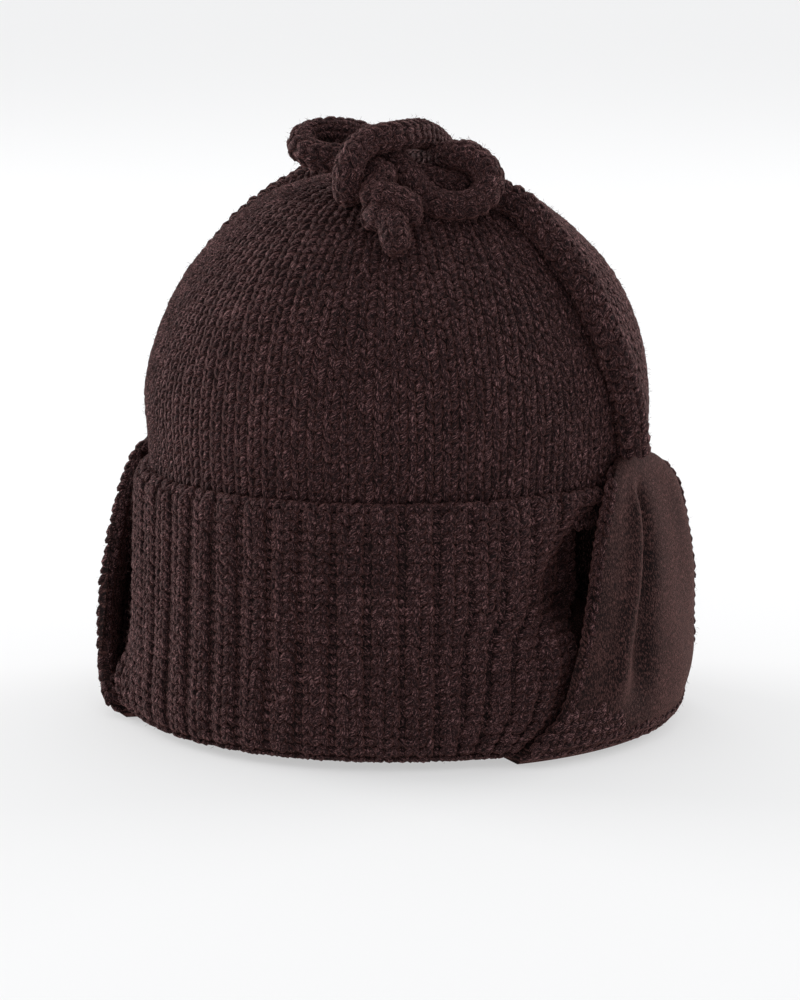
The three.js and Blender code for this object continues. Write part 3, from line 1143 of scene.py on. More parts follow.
    @staticmethod
    def _nap(
        tree: bpy.types.NodeTree,
        given: bpy.types.bpy_prop_collection,
        knitted: bpy.types.NodeSocket,
    ) -> bpy.types.NodeSocket:
        """The part of the tree that brushes fibres up from the stitches that face outwards.

        Args:
            tree: The tree.
            given: The tree's inputs.
            knitted: The socket of the stitches and the cloth.

        Returns:
            The socket of the fibres, still instances.
        """
        heather = add_node(
            tree, "GeometryNodeInputNamedAttribute", {"data_type": "FLOAT"}, {"Name": "heather"}
        )
        on_yarn = add_node(
            tree,
            "FunctionNodeCompare",
            MORE_THAN,
            {0: heather.outputs["Attribute"], 1: 0.01},
        )
        place = add_node(tree, "GeometryNodeInputPosition")
        from_middle = add_node(
            tree, "ShaderNodeVectorMath", {"operation": "SUBTRACT"}, {0: place.outputs[0], 1: given["Middle"]}
        )
        away = add_node(tree, "ShaderNodeVectorMath", {"operation": "NORMALIZE"}, {0: from_middle.outputs[0]})
        normal = add_node(tree, "GeometryNodeInputNormal")
        facing = add_node(
            tree,
            "ShaderNodeVectorMath",
            {"operation": "DOT_PRODUCT"},
            {0: away.outputs[0], 1: normal.outputs[0]},
        )
        outward = add_node(
            tree,
            "FunctionNodeCompare",
            MORE_THAN,
            {0: facing.outputs["Value"], 1: given["Facing"]},
        )
        height = add_node(tree, "ShaderNodeSeparateXYZ", inputs={"Vector": place.outputs[0]})
        off_floor = add_node(
            tree,
            "FunctionNodeCompare",
            MORE_THAN,
            {0: height.outputs["Z"], 1: NAP_FLOOR * MM},
        )
        bears = add_node(
            tree,
            "FunctionNodeBooleanMath",
            {"operation": "AND"},
            {0: on_yarn.outputs["Result"], 1: off_floor.outputs["Result"]},
        )
        both = add_node(
            tree,
            "FunctionNodeBooleanMath",
            {"operation": "AND"},
            {0: bears.outputs[0], 1: outward.outputs["Result"]},
        )
        roots = add_node(
            tree,
            "GeometryNodeDistributePointsOnFaces",
            {"distribute_method": "RANDOM"},
            {
                "Mesh": knitted,
                "Selection": both.outputs[0],
                "Density": given["Nap Density"],
                "Seed": given["Seed"],
            },
        )
        lean = add_node(
            tree,
            "FunctionNodeRandomValue",
            {"data_type": "FLOAT_VECTOR"},
            {"Min": given["Nap Lean Low"], "Max": given["Nap Lean High"], "Seed": given["Seed"]},
        )
        turned = add_node(
            tree,
            "FunctionNodeRotateRotation",
            {"rotation_space": "LOCAL"},
            {"Rotation": roots.outputs["Rotation"], "Rotate By": lean.outputs["Value"]},
        )
        size = add_node(
            tree,
            "FunctionNodeRandomValue",
            {"data_type": "FLOAT"},
            {"Min": given["Nap Size Low"], "Max": given["Nap Size High"], "Seed": given["Seed"]},
        )
        sliver = add_node(tree, "GeometryNodeObjectInfo", inputs={"Object": given["Loose Fibre"]})
        grown = add_node(
            tree,
            "GeometryNodeInstanceOnPoints",
            inputs={
                "Points": roots.outputs["Points"],
                "Instance": sliver.outputs["Geometry"],
                "Rotation": turned.outputs["Rotation"],
                "Scale": size.outputs["Value"],
            },
        )
        marked = add_node(
            tree,
            "GeometryNodeStoreNamedAttribute",
            {"data_type": "FLOAT", "domain": "INSTANCE"},
            {"Geometry": grown.outputs["Instances"], "Name": "nap", "Value": 1.0},
        )
        return marked.outputs["Geometry"]

    def knit(
        self,
        name: str,
        field: StitchField,
        cloth: bpy.types.Object | None,
        seed: int,
        nap: Nap = Nap(),
        backing: bpy.types.Material | None = None,
    ) -> bpy.types.Object:
        """Makes one piece of knitting as a plain mesh.

        Args:
            name: The piece's name.
            field: Where its stitches lie.
            cloth: The closed cloth behind them, which the piece takes in.
            seed: Fixes the chance in its unevenness.
            nap: How it is brushed.
            backing: The cloth's material, when it isn't the darker wool whose colour paints the shade between
                the stitches.

        Returns:
            The piece.
        """
        seeds = field.seeds(f"{name}_seeds")
        grow = seeds.modifiers.new("fabric", "NODES")
        grow.node_group = self.tree
        values: dict[str, Any] = {
            "Yarn Length": self.length,
            "Loose Fibre": self.sliver,
            "Yarn": self.yarn,
            "Backing": backing or self.backing,
            "Fibre": self.fibre,
            "Unevenness": 0.05,
            "Nap Density": nap.density,
            "Nap Lean Low": (nap.lean_low, 0.0, 0.0),
            "Nap Lean High": (nap.lean_high, 0.0, 2 * math.pi),
            "Nap Size Low": nap.size_low,
            "Nap Size High": nap.size_high,
            "Middle": nap.middle,
            "Facing": nap.facing,
            "Seed": seed,
        }
        if cloth is not None:
            values["Cloth"] = cloth
        for key, value in values.items():
            grow[self.inputs[key]] = value
        graph = bpy.context.evaluated_depsgraph_get()
        mesh = bpy.data.meshes.new_from_object(
            seeds.evaluated_get(graph), preserve_all_data_layers=True, depsgraph=graph
        )
        mesh.name = name
        made = bpy.data.objects.new(name, mesh)
        bpy.context.scene.collection.objects.link(made)
        for used in (seeds, cloth):
            if used is not None:
                bpy.data.objects.remove(used)
        return made

    def finish(self) -> None:
        """Removes the pattern yarn and fibre."""
        bpy.data.objects.remove(self.length)
        bpy.data.objects.remove(self.sliver)


def seat(piece: bpy.types.Object, material_slot: str, *nodes: str) -> bpy.types.Object:
    """Puts a piece on the cap's one body, in place of its plain solids.

    Args:
        piece: The piece.
        material_slot: Not used.
        nodes: The solids that it stands for.

    Returns:
        The piece.
    """
    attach(piece, BODY)
    if nodes:
        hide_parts(*nodes)
    triangles = sum(len(face.vertices) - 2 for face in piece.data.polygons)
    LOG.info("%s: %d triangles", piece.name, triangles)
    return piece


@dataclass
class Crown:
    """The dome of stocking stitch, drawn in towards its top in eight gores."""

    gores: int = 8
    wales_in_gore: int = 12
    first_height: float = 84.0
    shell_sink: float = 0.45

    def __post_init__(self) -> None:
        """Measures the outline from its hem to its top."""
        outline = np.array([(r, z) for z, r in CROWN_SECTIONS], float)
        self.outline = evenly(spline_points(outline), 0.5)
        self.run = along(self.outline)
        self.widest = float(self.outline[:, 0].max())

    def at(self, run: np.ndarray, lift: float = 0.0) -> tuple[np.ndarray, np.ndarray]:
        """Radius and height at a distance up the outline from the hem.

        Args:
            run: Distances in millimetres.
            lift: How far off the outline.

        Returns:
            Radii and heights.
        """
        reach = 1.5
        r, z = (np.interp(run, self.run, column) for column in self.outline.T)
        slope_r, slope_z = (
            np.interp(run + reach, self.run, column) - np.interp(run - reach, self.run, column)
            for column in self.outline.T
        )
        steep = np.hypot(slope_r, slope_z)
        return r + lift * slope_z / steep, z - lift * slope_r / steep

    def radius_at_height(self, z: np.ndarray) -> np.ndarray:
        """Outer radius at a height below the dome's widest place."""
        return np.interp(z, self.outline[:, 1], self.outline[:, 0])

    @staticmethod
    def dent(angle: np.ndarray, z: np.ndarray) -> np.ndarray:
        """Soft unevenness of the stuffed crown.

        Args:
            angle: Degrees from the front towards the wearer's left.
            z: Heights in millimetres.

        Returns:
            Millimetres of radius, more or less.
        """
        turn = np.radians(angle)
        shown = smooth_step(109.5, 133.5, z) * (1 - smooth_step(185, 200, z))
        return shown * (0.7 * np.sin(3 * turn + z / 24) + 0.5 * np.sin(5 * turn - z / 17))

    def pressed(self, angle: np.ndarray, r: np.ndarray, z: np.ndarray) -> np.ndarray:
        """The cloth's dents, and the hollows in it beside the ear flaps, in millimetres of radius."""
        return self.dent(angle, z) * np.clip(r / 30, 0, 1) - CROWN_GIVE * hollow(angle, z)

    def surface(self, angle: np.ndarray, run: np.ndarray) -> np.ndarray:
        """Points of the outside.

        Args:
            angle: Degrees from the front towards the wearer's left.
            run: Distances up the outline from the hem.

        Returns:
            The points, in millimetres.
        """
        r, z = self.at(run)
        fade = np.clip(r / 30, 0, 1)
        return plan_point(angle, r + fade * self.dent(angle, z), z)

    def shell(self, name: str) -> bpy.types.Object:
        """The cloth behind the stitches, hollow and open below.

        Args:
            name: The object's name.

        Returns:
            The object, closed.
        """
        top = self.run[-1]
        outer_run = np.linspace(0, top - 1.5, 60)
        inner_run = np.linspace(0, top - 2.5, 30)
        columns = 160
        angle = np.arange(columns) * 360 / columns
        rows = []
        for run in inner_run[::-1]:
            r, z = self.at(np.array([run]), -CROWN_WALL)
            z = np.maximum(z, HEM_HEIGHT) if run < 12 else z
            rows.append(plan_point(angle, r + self.pressed(angle, r, z), z))
        for run in outer_run:
            sink = self.shell_sink * float(smooth_step(2, 10, run))
            r, z = self.at(np.array([run]), -sink)
            rows.append(plan_point(angle, r + self.pressed(angle, r, z), z))
        points = np.concatenate(rows)
        faces: list[Sequence[int]] = list(grid_faces(len(rows), columns, True))
        low, high = len(points), len(points) + 1
        inner_top = self.outline[-1, 1] - CROWN_WALL
        points = np.vstack([points, [[0, 0, inner_top], [0, 0, self.outline[-1, 1] - self.shell_sink]]])
        first = (len(rows) - 1) * columns
        for j in range(columns):
            k = (j + 1) % columns
            faces.append((low, k, j))
            faces.append((first + j, first + k, high))
        made = mesh_object(name, points, faces)
        point_outwards(made.data)
        return made

    def stitches(self, low: float, high: float, seed: int) -> StitchField:
        """Lays the stitches of a band of the crown.

        Args:
            low: Height where the band begins.
            high: Height where it ends.
            seed: Fixes the chance in it.

        Returns:
            The stitches.
        """
        first = float(np.interp(self.first_height, self.outline[:, 1], self.run))
        courses = np.arange(first, self.run[-1] - 4, COURSE)
        full = 2 * math.pi * self.widest / (self.gores * self.wales_in_gore)
        angles, runs, wales, widths = [], [], [], []
        for course in courses:
            r, z = self.at(np.array([course]))
            radius, height = float(r[0]), float(z[0])
            if not low <= height < high:
                continue
            half = math.pi * radius / self.gores
            wide = full if height > 124 else 2 * half / self.wales_in_gore
            count = max(1, int(half / wide + 0.5))
            shared = min(count, 3)
            whole = (count - shared) * wide
            edges = [k * wide for k in range(count - shared)]
            edges += [whole + (half - whole) * k / shared for k in range(shared + 1)]
            for gore in range(self.gores):
                for a, b in zip(edges, edges[1:]):
                    for side in (-1, 1):
                        middle = side * (a + b) / 2
                        angles.append(gore * 360 / self.gores + math.degrees(middle / radius))
                        runs.append(course)
                        wales.append(math.degrees((b - a) / radius))
                        widths.append(b - a)
        field = StitchField.empty()
        layout = StitchLayout(seed=seed)
        u, v, w = np.array(angles), np.array(runs), np.array(wales)
        breadth = np.clip(np.array(widths) / full, 0.6, 1.3)
        layout.columns(field, StitchKind.KNIT_UP, self.surface, u, v, w, (0.8, 1.0), breadth)
        return field

    def build(self, fabric: KnitFabric) -> None:
        """Builds and seats the crown.

        Args:
            fabric: Makes the knitting.
        """
        body = fabric.knit("crown_sides", self.stitches(0, 134, 11), self.shell("crown_cloth"), 11)
        seat(body, "crown_knit", "crown")
        top = fabric.knit("crown_top", self.stitches(134, 999, 12), None, 12)
        seat(top, "crown_knit")


@dataclass
class Cuff:
    """A turned-up cuff of two-and-one rib across the face or the nape.

    It faces the plan angle that towards gives, and its ends follow the flap edge in that column of
    FLAP_SECTIONS. A column counts from 0 at one end, three to a rib, and a share from -1 to 1.
    """

    name: str
    towards: float
    edge: int
    crown: Crown
    ribs: int = 22
    half_angle: float = 79.0
    rib_height: float = 2.5
    cloth: float = 4.1
    cloth_at_side: float = 3.2
    course: float = 3.72
    gather_start: float = 0.45
    corner_lump: float = 6.5
    overlap: float = 3.0
    tuck: float = 3.5
    low_corner: float = 0.0
    seed: int = 21

    # The outside's path from under the fold, up and over the top edge: height and depth into the cloth.
    PATH = (
        (2.3, 9.0),
        (2.3, 5.5),
        (2.4, 2.6),
        (3.6, 0.3),
        (6.5, 0),
        (30, 0),
        (60, 0),
        (90, 0),
        (94.2, 0.2),
        (96.4, 1.3),
        (96.6, 2.9),
        (94.5, 3.9),
        (90, 4.1),
    )

    def __post_init__(self) -> None:
        """Rounds the tables' corners and measures the path."""
        heights = [row[0] for row in CUFF_BELLY]
        self.belly = SoftTable(heights, [row[1] for row in CUFF_BELLY], 1.6)
        rows = [row[0] for row in FLAP_SECTIONS]
        self.flap_half = SoftTable(rows, [row[self.edge] for row in FLAP_SECTIONS], 1.6)
        self.path = evenly(spline_points(np.array(self.PATH, float)), 0.5)
        self.path_run = along(self.path)

    def corner_height(self, angle: np.ndarray, z: np.ndarray) -> np.ndarray:
        """Height as the corners' folds go by it: the corner at the lesser angles is folded lower."""
        return z + self.low_corner * (1 - smooth_step(-50, -40, angle))

    def end_angle(self, share: np.ndarray, z: np.ndarray) -> np.ndarray:
        """Where the cuff ends, beside the flap low down and behind it above.

        Args:
            share: Places from -1 at one end to 1 at the other.
            z: Heights in millimetres.

        Returns:
            Degrees from the cuff's middle.
        """
        beside = EAR_ANGLE - self.flap_half(z) + self.overlap
        tucked = smooth_step(46, 60, self.corner_height(np.sign(share) * self.half_angle, z))
        return beside + (self.half_angle - beside) * tucked

    def angle(self, share: np.ndarray, z: np.ndarray) -> np.ndarray:
        """The angle of a column, drawn together at the low corners.

        Args:
            share: Places from -1 at one end to 1 at the other.
            z: Heights in millimetres.

        Returns:
            Degrees from the cuff's middle.
        """
        gathered = np.maximum(0, (np.abs(share) - self.gather_start) / (1 - self.gather_start)) ** 1.15
        drawn_in = gathered * (self.half_angle - self.end_angle(share, z))
        return share * self.half_angle - np.sign(share) * drawn_in

    def lump(self, angle: np.ndarray, z: np.ndarray) -> np.ndarray:
        """The gathered cloth at the low corners, under a crease that climbs towards the flap.

        Args:
            angle: Degrees from the cuff's middle.
            z: Heights in millimetres.

        Returns:
            How far it stands out, in millimetres.
        """
        crease = 34 + (np.abs(angle) - 46) * 19 / 20
        near = smooth_step(42, 58, np.abs(angle))
        t = np.clip((self.corner_height(angle, z) - (crease - 16)) / 16, 0, 1)
        return self.corner_lump * near * smooth_step(0, 7, z) * (1 - t * t * (3 - 2 * t))

    def outer(self, angle: np.ndarray, z: np.ndarray) -> np.ndarray:
        """Outer radius between the ribs.

        Args:
            angle: Degrees from the cuff's middle.
            z: Heights in millimetres.

        Returns:
            The radii, in millimetres.
        """
        side = smooth_step(62, 72, np.abs(angle))
        fold = self.corner_height(angle, z)
        cloth = self.cloth + (self.cloth_at_side - self.cloth) * side
        belly = self.belly(z) * (1 - 0.8 * side * smooth_step(42, 60, fold))
        away = np.abs(angle)
        drawn = 1.2 * smooth_step(50, 60, away) * smooth_step(44, 54, fold) * (1 - side)
        drawn += smooth_step(57, 67, away) * smooth_step(44, 58, fold) * (1 - smooth_step(84, 94, z))
        end = EAR_ANGLE - self.flap_half(z)
        under = self.tuck * smooth_step(end - 3.5, end + 1.5, away) * (1 - smooth_step(50, 62, fold))
        lump = self.lump(angle, z)
        sunk = drawn + under + hollow(angle + self.towards, z)
        return self.crown.radius_at_height(z) + PIECE_GAP + cloth + belly + lump - sunk

    def relief(self, column: np.ndarray) -> np.ndarray:
        """How far a column stands out of the gutters, from 0 to 1."""
        inside = np.abs(np.mod(column, 3.0) - 1.5)
        return 1 - np.clip(inside / 1.5, 0, 1) ** 2.6

    def surface(self, column: np.ndarray, run: np.ndarray) -> np.ndarray:
        """Points of the outside.

        Args:
            column: Places across the rib, three to a rib.
            run: Distances along the path in millimetres.

        Returns:
            The points, in millimetres.
        """
        z = np.interp(run, self.path_run, self.path[:, 0])
        depth = np.interp(run, self.path_run, self.path[:, 1])
        share = 2 * column / (3 * self.ribs) - 1
        angle = self.angle(share, z)
        side = smooth_step(0.84, 0.95, np.abs(share))
        rise = self.rib_height * self.relief(column) * (1 - 0.45 * side) * np.clip(1 - depth / 4, 0, 1)
        return plan_point(angle + self.towards, self.outer(angle, z) + rise - depth, z)

    def shell(self, name: str, sink: float = 0.55) -> bpy.types.Object:
        """The cloth behind the stitches, from the fold under the crown to the top edge and down its back.

        Args:
            name: The object's name.
            sink: How far it lies under the stitches' surface.

        Returns:
            The object, closed.
        """
        columns = np.linspace(0.35, 3 * self.ribs - 0.35, 2 * self.ribs * 3 + 1)
        runs = np.linspace(2.5, self.path_run[-1], 40)
        grid_c, grid_r = np.meshgrid(columns, runs, indexing="ij")
        flat_c, flat_r = grid_c.ravel(), grid_r.ravel()
        outside = self.surface(flat_c, flat_r)
        across = self.surface(flat_c + 0.1, flat_r) - self.surface(flat_c - 0.1, flat_r)
        upward = self.surface(flat_c, flat_r + 0.3) - self.surface(flat_c, flat_r - 0.3)
        outside = outside - sink * unit(np.cross(across, upward))
        outside = outside.reshape(len(columns), len(runs), 3)
        share = 2 * columns / (3 * self.ribs) - 1
        back = []
        for z in (84, 70, 56, 44, 36, 29, 22, 16, 11, 8):
            angle = self.angle(share, np.full_like(share, z))
            behind = self.outer(angle, np.full_like(share, z)) - self.cloth
            crown = self.crown.radius_at_height(np.array([z]))[0]
            pressed = crown - CROWN_GIVE * hollow(angle + self.towards, np.array([z]))
            wall = np.maximum(behind, pressed + PIECE_GAP)
            back.append(plan_point(angle + self.towards, wall, np.full_like(share, z)))
        wall_foot = float(self.crown.radius_at_height(np.array([FOLD_FLOOR]))[0]) + 2
        for z, r in ((FOLD_FLOOR, wall_foot), (FOLD_FLOOR, FOLD_HEEL_RADIUS), (2.2, FOLD_HEEL_RADIUS)):
            angle = self.angle(share, np.full_like(share, z))
            back.append(plan_point(angle + self.towards, np.full_like(share, r), np.full_like(share, z)))
        loops = np.concatenate([outside, np.stack(back, axis=1)], axis=1)
        return closed_skin(name, loops)

    def stitches(self) -> StitchField:
        """Lays the rib.

        Returns:
            The stitches.
        """
        field = StitchField.empty()
        courses = np.arange(1.5, self.path_run[-1] - 1, self.course)
        ribs = np.arange(self.ribs)
        layout = StitchLayout(leg_width=3.25, leg_length=5.9, leg_depth=2.4, tilt=26, lean=11, seed=self.seed)
        for place in (0.9, 2.1):
            column, run = np.meshgrid(3 * ribs + place, courses)
            wave = 0.12 * np.sin(run / 17 + column * 1.7)
            u, v = (column + wave).ravel(), run.ravel()
            wale = np.full(len(u), 1.2)
            layout.columns(field, StitchKind.KNIT_DOWN, self.surface, u, v, wale, (0.12, 1.0))
            layout.seed += 1
        column, run = np.meshgrid(3.0 * np.arange(1, self.ribs), courses)
        bars = StitchLayout(leg_width=3.9, leg_length=5.6, leg_depth=2.5, lift=-0.2, seed=layout.seed)
        u, v = column.ravel(), run.ravel()
        bars.columns(field, StitchKind.PURL, self.surface, u, v, np.full(len(u), 0.6), (0.25, 1.0))
        return field

    def build(self, fabric: KnitFabric) -> None:
        """Builds and seats the cuff.

        Args:
            fabric: Makes the knitting.
        """
        cloth = self.shell(f"{self.name}_cloth")
        piece = fabric.knit(f"{self.name}_rib", self.stitches(), cloth, self.seed)
        seat(piece, "rib_knit", self.name)


@dataclass
class EarFlap:
    """A turned-up ear flap: brushed facing outside, bulky knit on the side towards the crown."""

    name: str
    middle: float
    crown: Crown
    facing: bpy.types.Material
    cloth: float = 6.4
    inner_radius: float = 104.0
    map_radius: float = 110.0
    fold_radius: float = 112.0
    flare: float = 0.0
    seed: int = 41

    def __post_init__(self) -> None:
        """Rounds the tables' corners."""
        rows = [row[0] for row in FLAP_SECTIONS]
        self.face = SoftTable(rows, [row[1] for row in FLAP_SECTIONS], 1.2)
        self.nape = SoftTable(rows, [row[2] for row in FLAP_SECTIONS], 1.2)
        self.radius = SoftTable(rows, [row[3] for row in FLAP_SECTIONS], 1.5)
        self.hand = math.copysign(1.0, self.middle)

    def relief(self, across: np.ndarray, z: np.ndarray) -> np.ndarray:
        """Ridge, valley and edges of the flap.

        Args:
            across: Places from -1 at the edge towards the face to 1 at the edge towards the nape.
            z: Heights in millimetres.

        Returns:
            How far they stand out, in millimetres.
        """
        body = smooth_step(10, 34, z) * (1 - smooth_step(86, 101, z))
        lean = across - 0.2 * smooth_step(32, 84, z)
        folds = (
            2.8 * swell(lean, -0.6, 0.11)
            - 4.4 * swell(lean, -0.36, 0.13)
            - 0.8 * swell(across, 0.5, 0.25)
        )
        bulge = 3.4 * swell(across, 0.8, 0.4) * smooth_step(24, 66, z) * (1 - smooth_step(92, 104, z))
        heel = -4.0 * smooth_step(-0.1, 0.7, across) * (1 - smooth_step(3, 27, z))
        flare = self.flare * swell(across, -1.0, 0.4) * smooth_step(8, 50, z) * (1 - smooth_step(94, 105, z))
        return body * folds + bulge + heel + flare

    def angle(self, across: np.ndarray, z: np.ndarray) -> np.ndarray:
        """The angle round the cap of a place across the flap."""
        half = np.where(across < 0, self.face(z), self.nape(z))
        return self.middle + self.hand * across * half

    def roundness(self, across: np.ndarray) -> np.ndarray:
        """How much of its thickness the flap has, less at its two edges."""
        return 0.5 + 0.5 * np.sqrt(np.clip(1 - np.abs(across) ** 5, 0, 1))

    def outer(self, across: np.ndarray, z: np.ndarray) -> np.ndarray:
        """Outer radius."""
        return self.radius(z) + self.relief(across, z) - (1 - self.roundness(across)) * 1.2

    def thickness(self, across: np.ndarray, z: np.ndarray) -> np.ndarray:
        """Thickness of the doubled cloth."""
        return self.cloth * self.roundness(across) * (1 - 0.38 * smooth_step(75, 105, z))

    def outside(self, across: np.ndarray, z: np.ndarray) -> np.ndarray:
        """Points of the facing."""
        return plan_point(self.angle(across, z), self.outer(across, z), z)

    def inside(self, across: np.ndarray, z: np.ndarray) -> np.ndarray:
        """Points of the side towards the crown. Across runs the other way, so that it faces inwards."""
        wall = self.outer(-across, z) - self.thickness(-across, z)
        return plan_point(self.angle(-across, z), wall, z)

    def shell(self, name: str) -> bpy.types.Object:
        """The flap's body.

        Args:
            name: The object's name.

        Returns:
            The object, closed, with its cloth mapped in millimetres.
        """
        across = np.sin(np.linspace(-math.pi / 2, math.pi / 2, 64))
        heights = np.concatenate([[0.7, 1.6, 2.8], np.linspace(4.2, 104, 62), [105.4, 106.4, FLAP_HEIGHT]])
        loops = []
        for place in across:
            column = np.full_like(heights, place)
            outer = self.outer(column, heights)
            end = smooth_step(103.5, FLAP_HEIGHT + 0.6, heights)
            outside = plan_point(self.angle(column, heights), outer - 1.6 * end, heights)
            back_heights = np.concatenate([[106.2], np.linspace(104, 9, 26)])
            back_column = np.full_like(back_heights, place)
            wall = self.outer(back_column, back_heights) - self.thickness(back_column, back_heights)
            inside = plan_point(self.angle(back_column, back_heights), wall, back_heights)
            foot_z = np.array([FOLD_FLOOR, FOLD_FLOOR, 2.2, 0.7])
            foot_r = np.array([104, FOLD_HEEL_RADIUS, FOLD_HEEL_RADIUS, FOLD_HEEL_RADIUS + 2])
            foot = plan_point(self.angle(np.full(4, place), foot_z), foot_r, foot_z)
            loops.append(np.concatenate([outside, inside, foot]))
        made = closed_skin(name, np.stack(loops))
        layer = made.data.uv_layers.new(name="cloth")
        points = np.empty(len(made.data.vertices) * 3)
        made.data.vertices.foreach_get("co", points)
        points = points.reshape(-1, 3) / MM
        turn = np.degrees(np.arctan2(points[:, 0], -points[:, 1])) - self.middle
        turn = (turn + 180) % 360 - 180
        flat = np.stack([np.radians(turn) * self.map_radius, points[:, 2]], axis=1)
        corners = np.empty(len(made.data.loops), dtype=np.int64)
        made.data.loops.foreach_get("vertex_index", corners)
        layer.data.foreach_set("uv", flat[corners].astype(np.float32).ravel())
        tone = made.data.attributes.new("heather", "FLOAT", "POINT")
        tone.data.foreach_set("value", np.full(len(made.data.vertices), 0.5, dtype=np.float32))
        return made

    def stitches(self) -> StitchField:
        """Lays the bulky knit of the inner side and of the fold below.

        Returns:
            The stitches.
        """
        field = StitchField.empty()
        layout = StitchLayout(lift=0.2, seed=self.seed)
        heights = np.arange(10, 104, COURSE)
        across, runs, wales = [], [], []
        for z in heights:
            width = float(np.radians(self.face(z) + self.nape(z)) * self.inner_radius)
            count = max(2, int(width / WALE))
            for k in range(count):
                middle = -1 + (2 * k + 1) / count
                if abs(middle) < 0.97:
                    across.append(middle)
                    runs.append(z)
                    wales.append(2 / count)
        u, v, w = np.array(across), np.array(runs), np.array(wales)
        layout.columns(field, StitchKind.KNIT_DOWN, self.inside, u, v, w, (0.03, 1.0))
        layout.lift = -0.8
        rim_heights = np.arange(8, 101, COURSE)
        for end in (-1.0, 1.0):
            u, w = np.zeros(len(rim_heights)), np.full(len(rim_heights), 4.6)
            layout.columns(field, StitchKind.KNIT_DOWN, self.rim(end), u, rim_heights, w, (0.3, 1.0))
            layout.seed += 1
        return field

    def rim(self, end: float) -> Surface:
        """The narrow face along one edge of the flap.

        Args:
            end: -1 for the edge towards the face, 1 for the edge towards the nape.

        Returns:
            Its points, by millimetres to the right of its middle, seen from outside, and height.
        """

        def surface(right: np.ndarray, z: np.ndarray) -> np.ndarray:
            """Points of the rim.

            Args:
                right: Millimetres to the right of its middle.
                z: Heights in millimetres.

            Returns:
                The points, in millimetres.
            """
            place = np.full_like(z, end)
            middle = self.outer(place, z) - 0.5 * self.thickness(place, z)
            return plan_point(self.angle(place, z), middle - end * self.hand * right, z)

        return surface

    def fold_band(self) -> StitchField:
        """Lays the bulky courses that come round from the inner side at the fold.

        Returns:
            The stitches.
        """
        field = StitchField.empty()
        layout = StitchLayout(leg_width=3.3, leg_length=6.0, leg_depth=2.6, lift=-0.5, seed=self.seed + 3)
        across, heights, wales, breadths = [], [], [], []
        for course in range(5):
            z = 3.2 + COURSE * course
            width = float(np.radians(self.face(z) + self.nape(z)) * self.fold_radius)
            count = int(width / WALE)
            for k in range(count):
                middle = -1 + (2 * k + 1) / count
                fade = 19 - 11 * float(smooth_step(-0.75, -0.2, middle))
                if z < fade and abs(middle) < 0.96:
                    across.append(middle)
                    heights.append(z)
                    wales.append(2 / count)
                    breadths.append(width / count / WALE)
        u, v, w, breadth = (np.array(values) for values in (across, heights, wales, breadths))
        kind = StitchKind.KNIT_DOWN
        layout.columns(field, kind, self.outside_right, u * self.hand, v, w, (0.03, 1.0), breadth)
        return field

    def outside_right(self, across: np.ndarray, z: np.ndarray) -> np.ndarray:
        """Points of the facing, by a place that runs to the right seen from outside."""
        return self.outside(across * self.hand, z)

    def build(self, fabric: KnitFabric) -> None:
        """Builds and seats the flap.

        Args:
            fabric: Makes the knitting.
        """
        cloth = self.shell(f"{self.name}_cloth")
        brushed = Nap(density=24000.0, lean_low=0.8)
        name = f"{self.name}_facing"
        body = fabric.knit(name, self.fold_band(), cloth, self.seed + 1, brushed, self.facing)
        seat(body, "flap_knit", self.name)
        lining = fabric.knit(f"{self.name}_knit", self.stitches(), None, self.seed)
        seat(lining, "flap_knit")


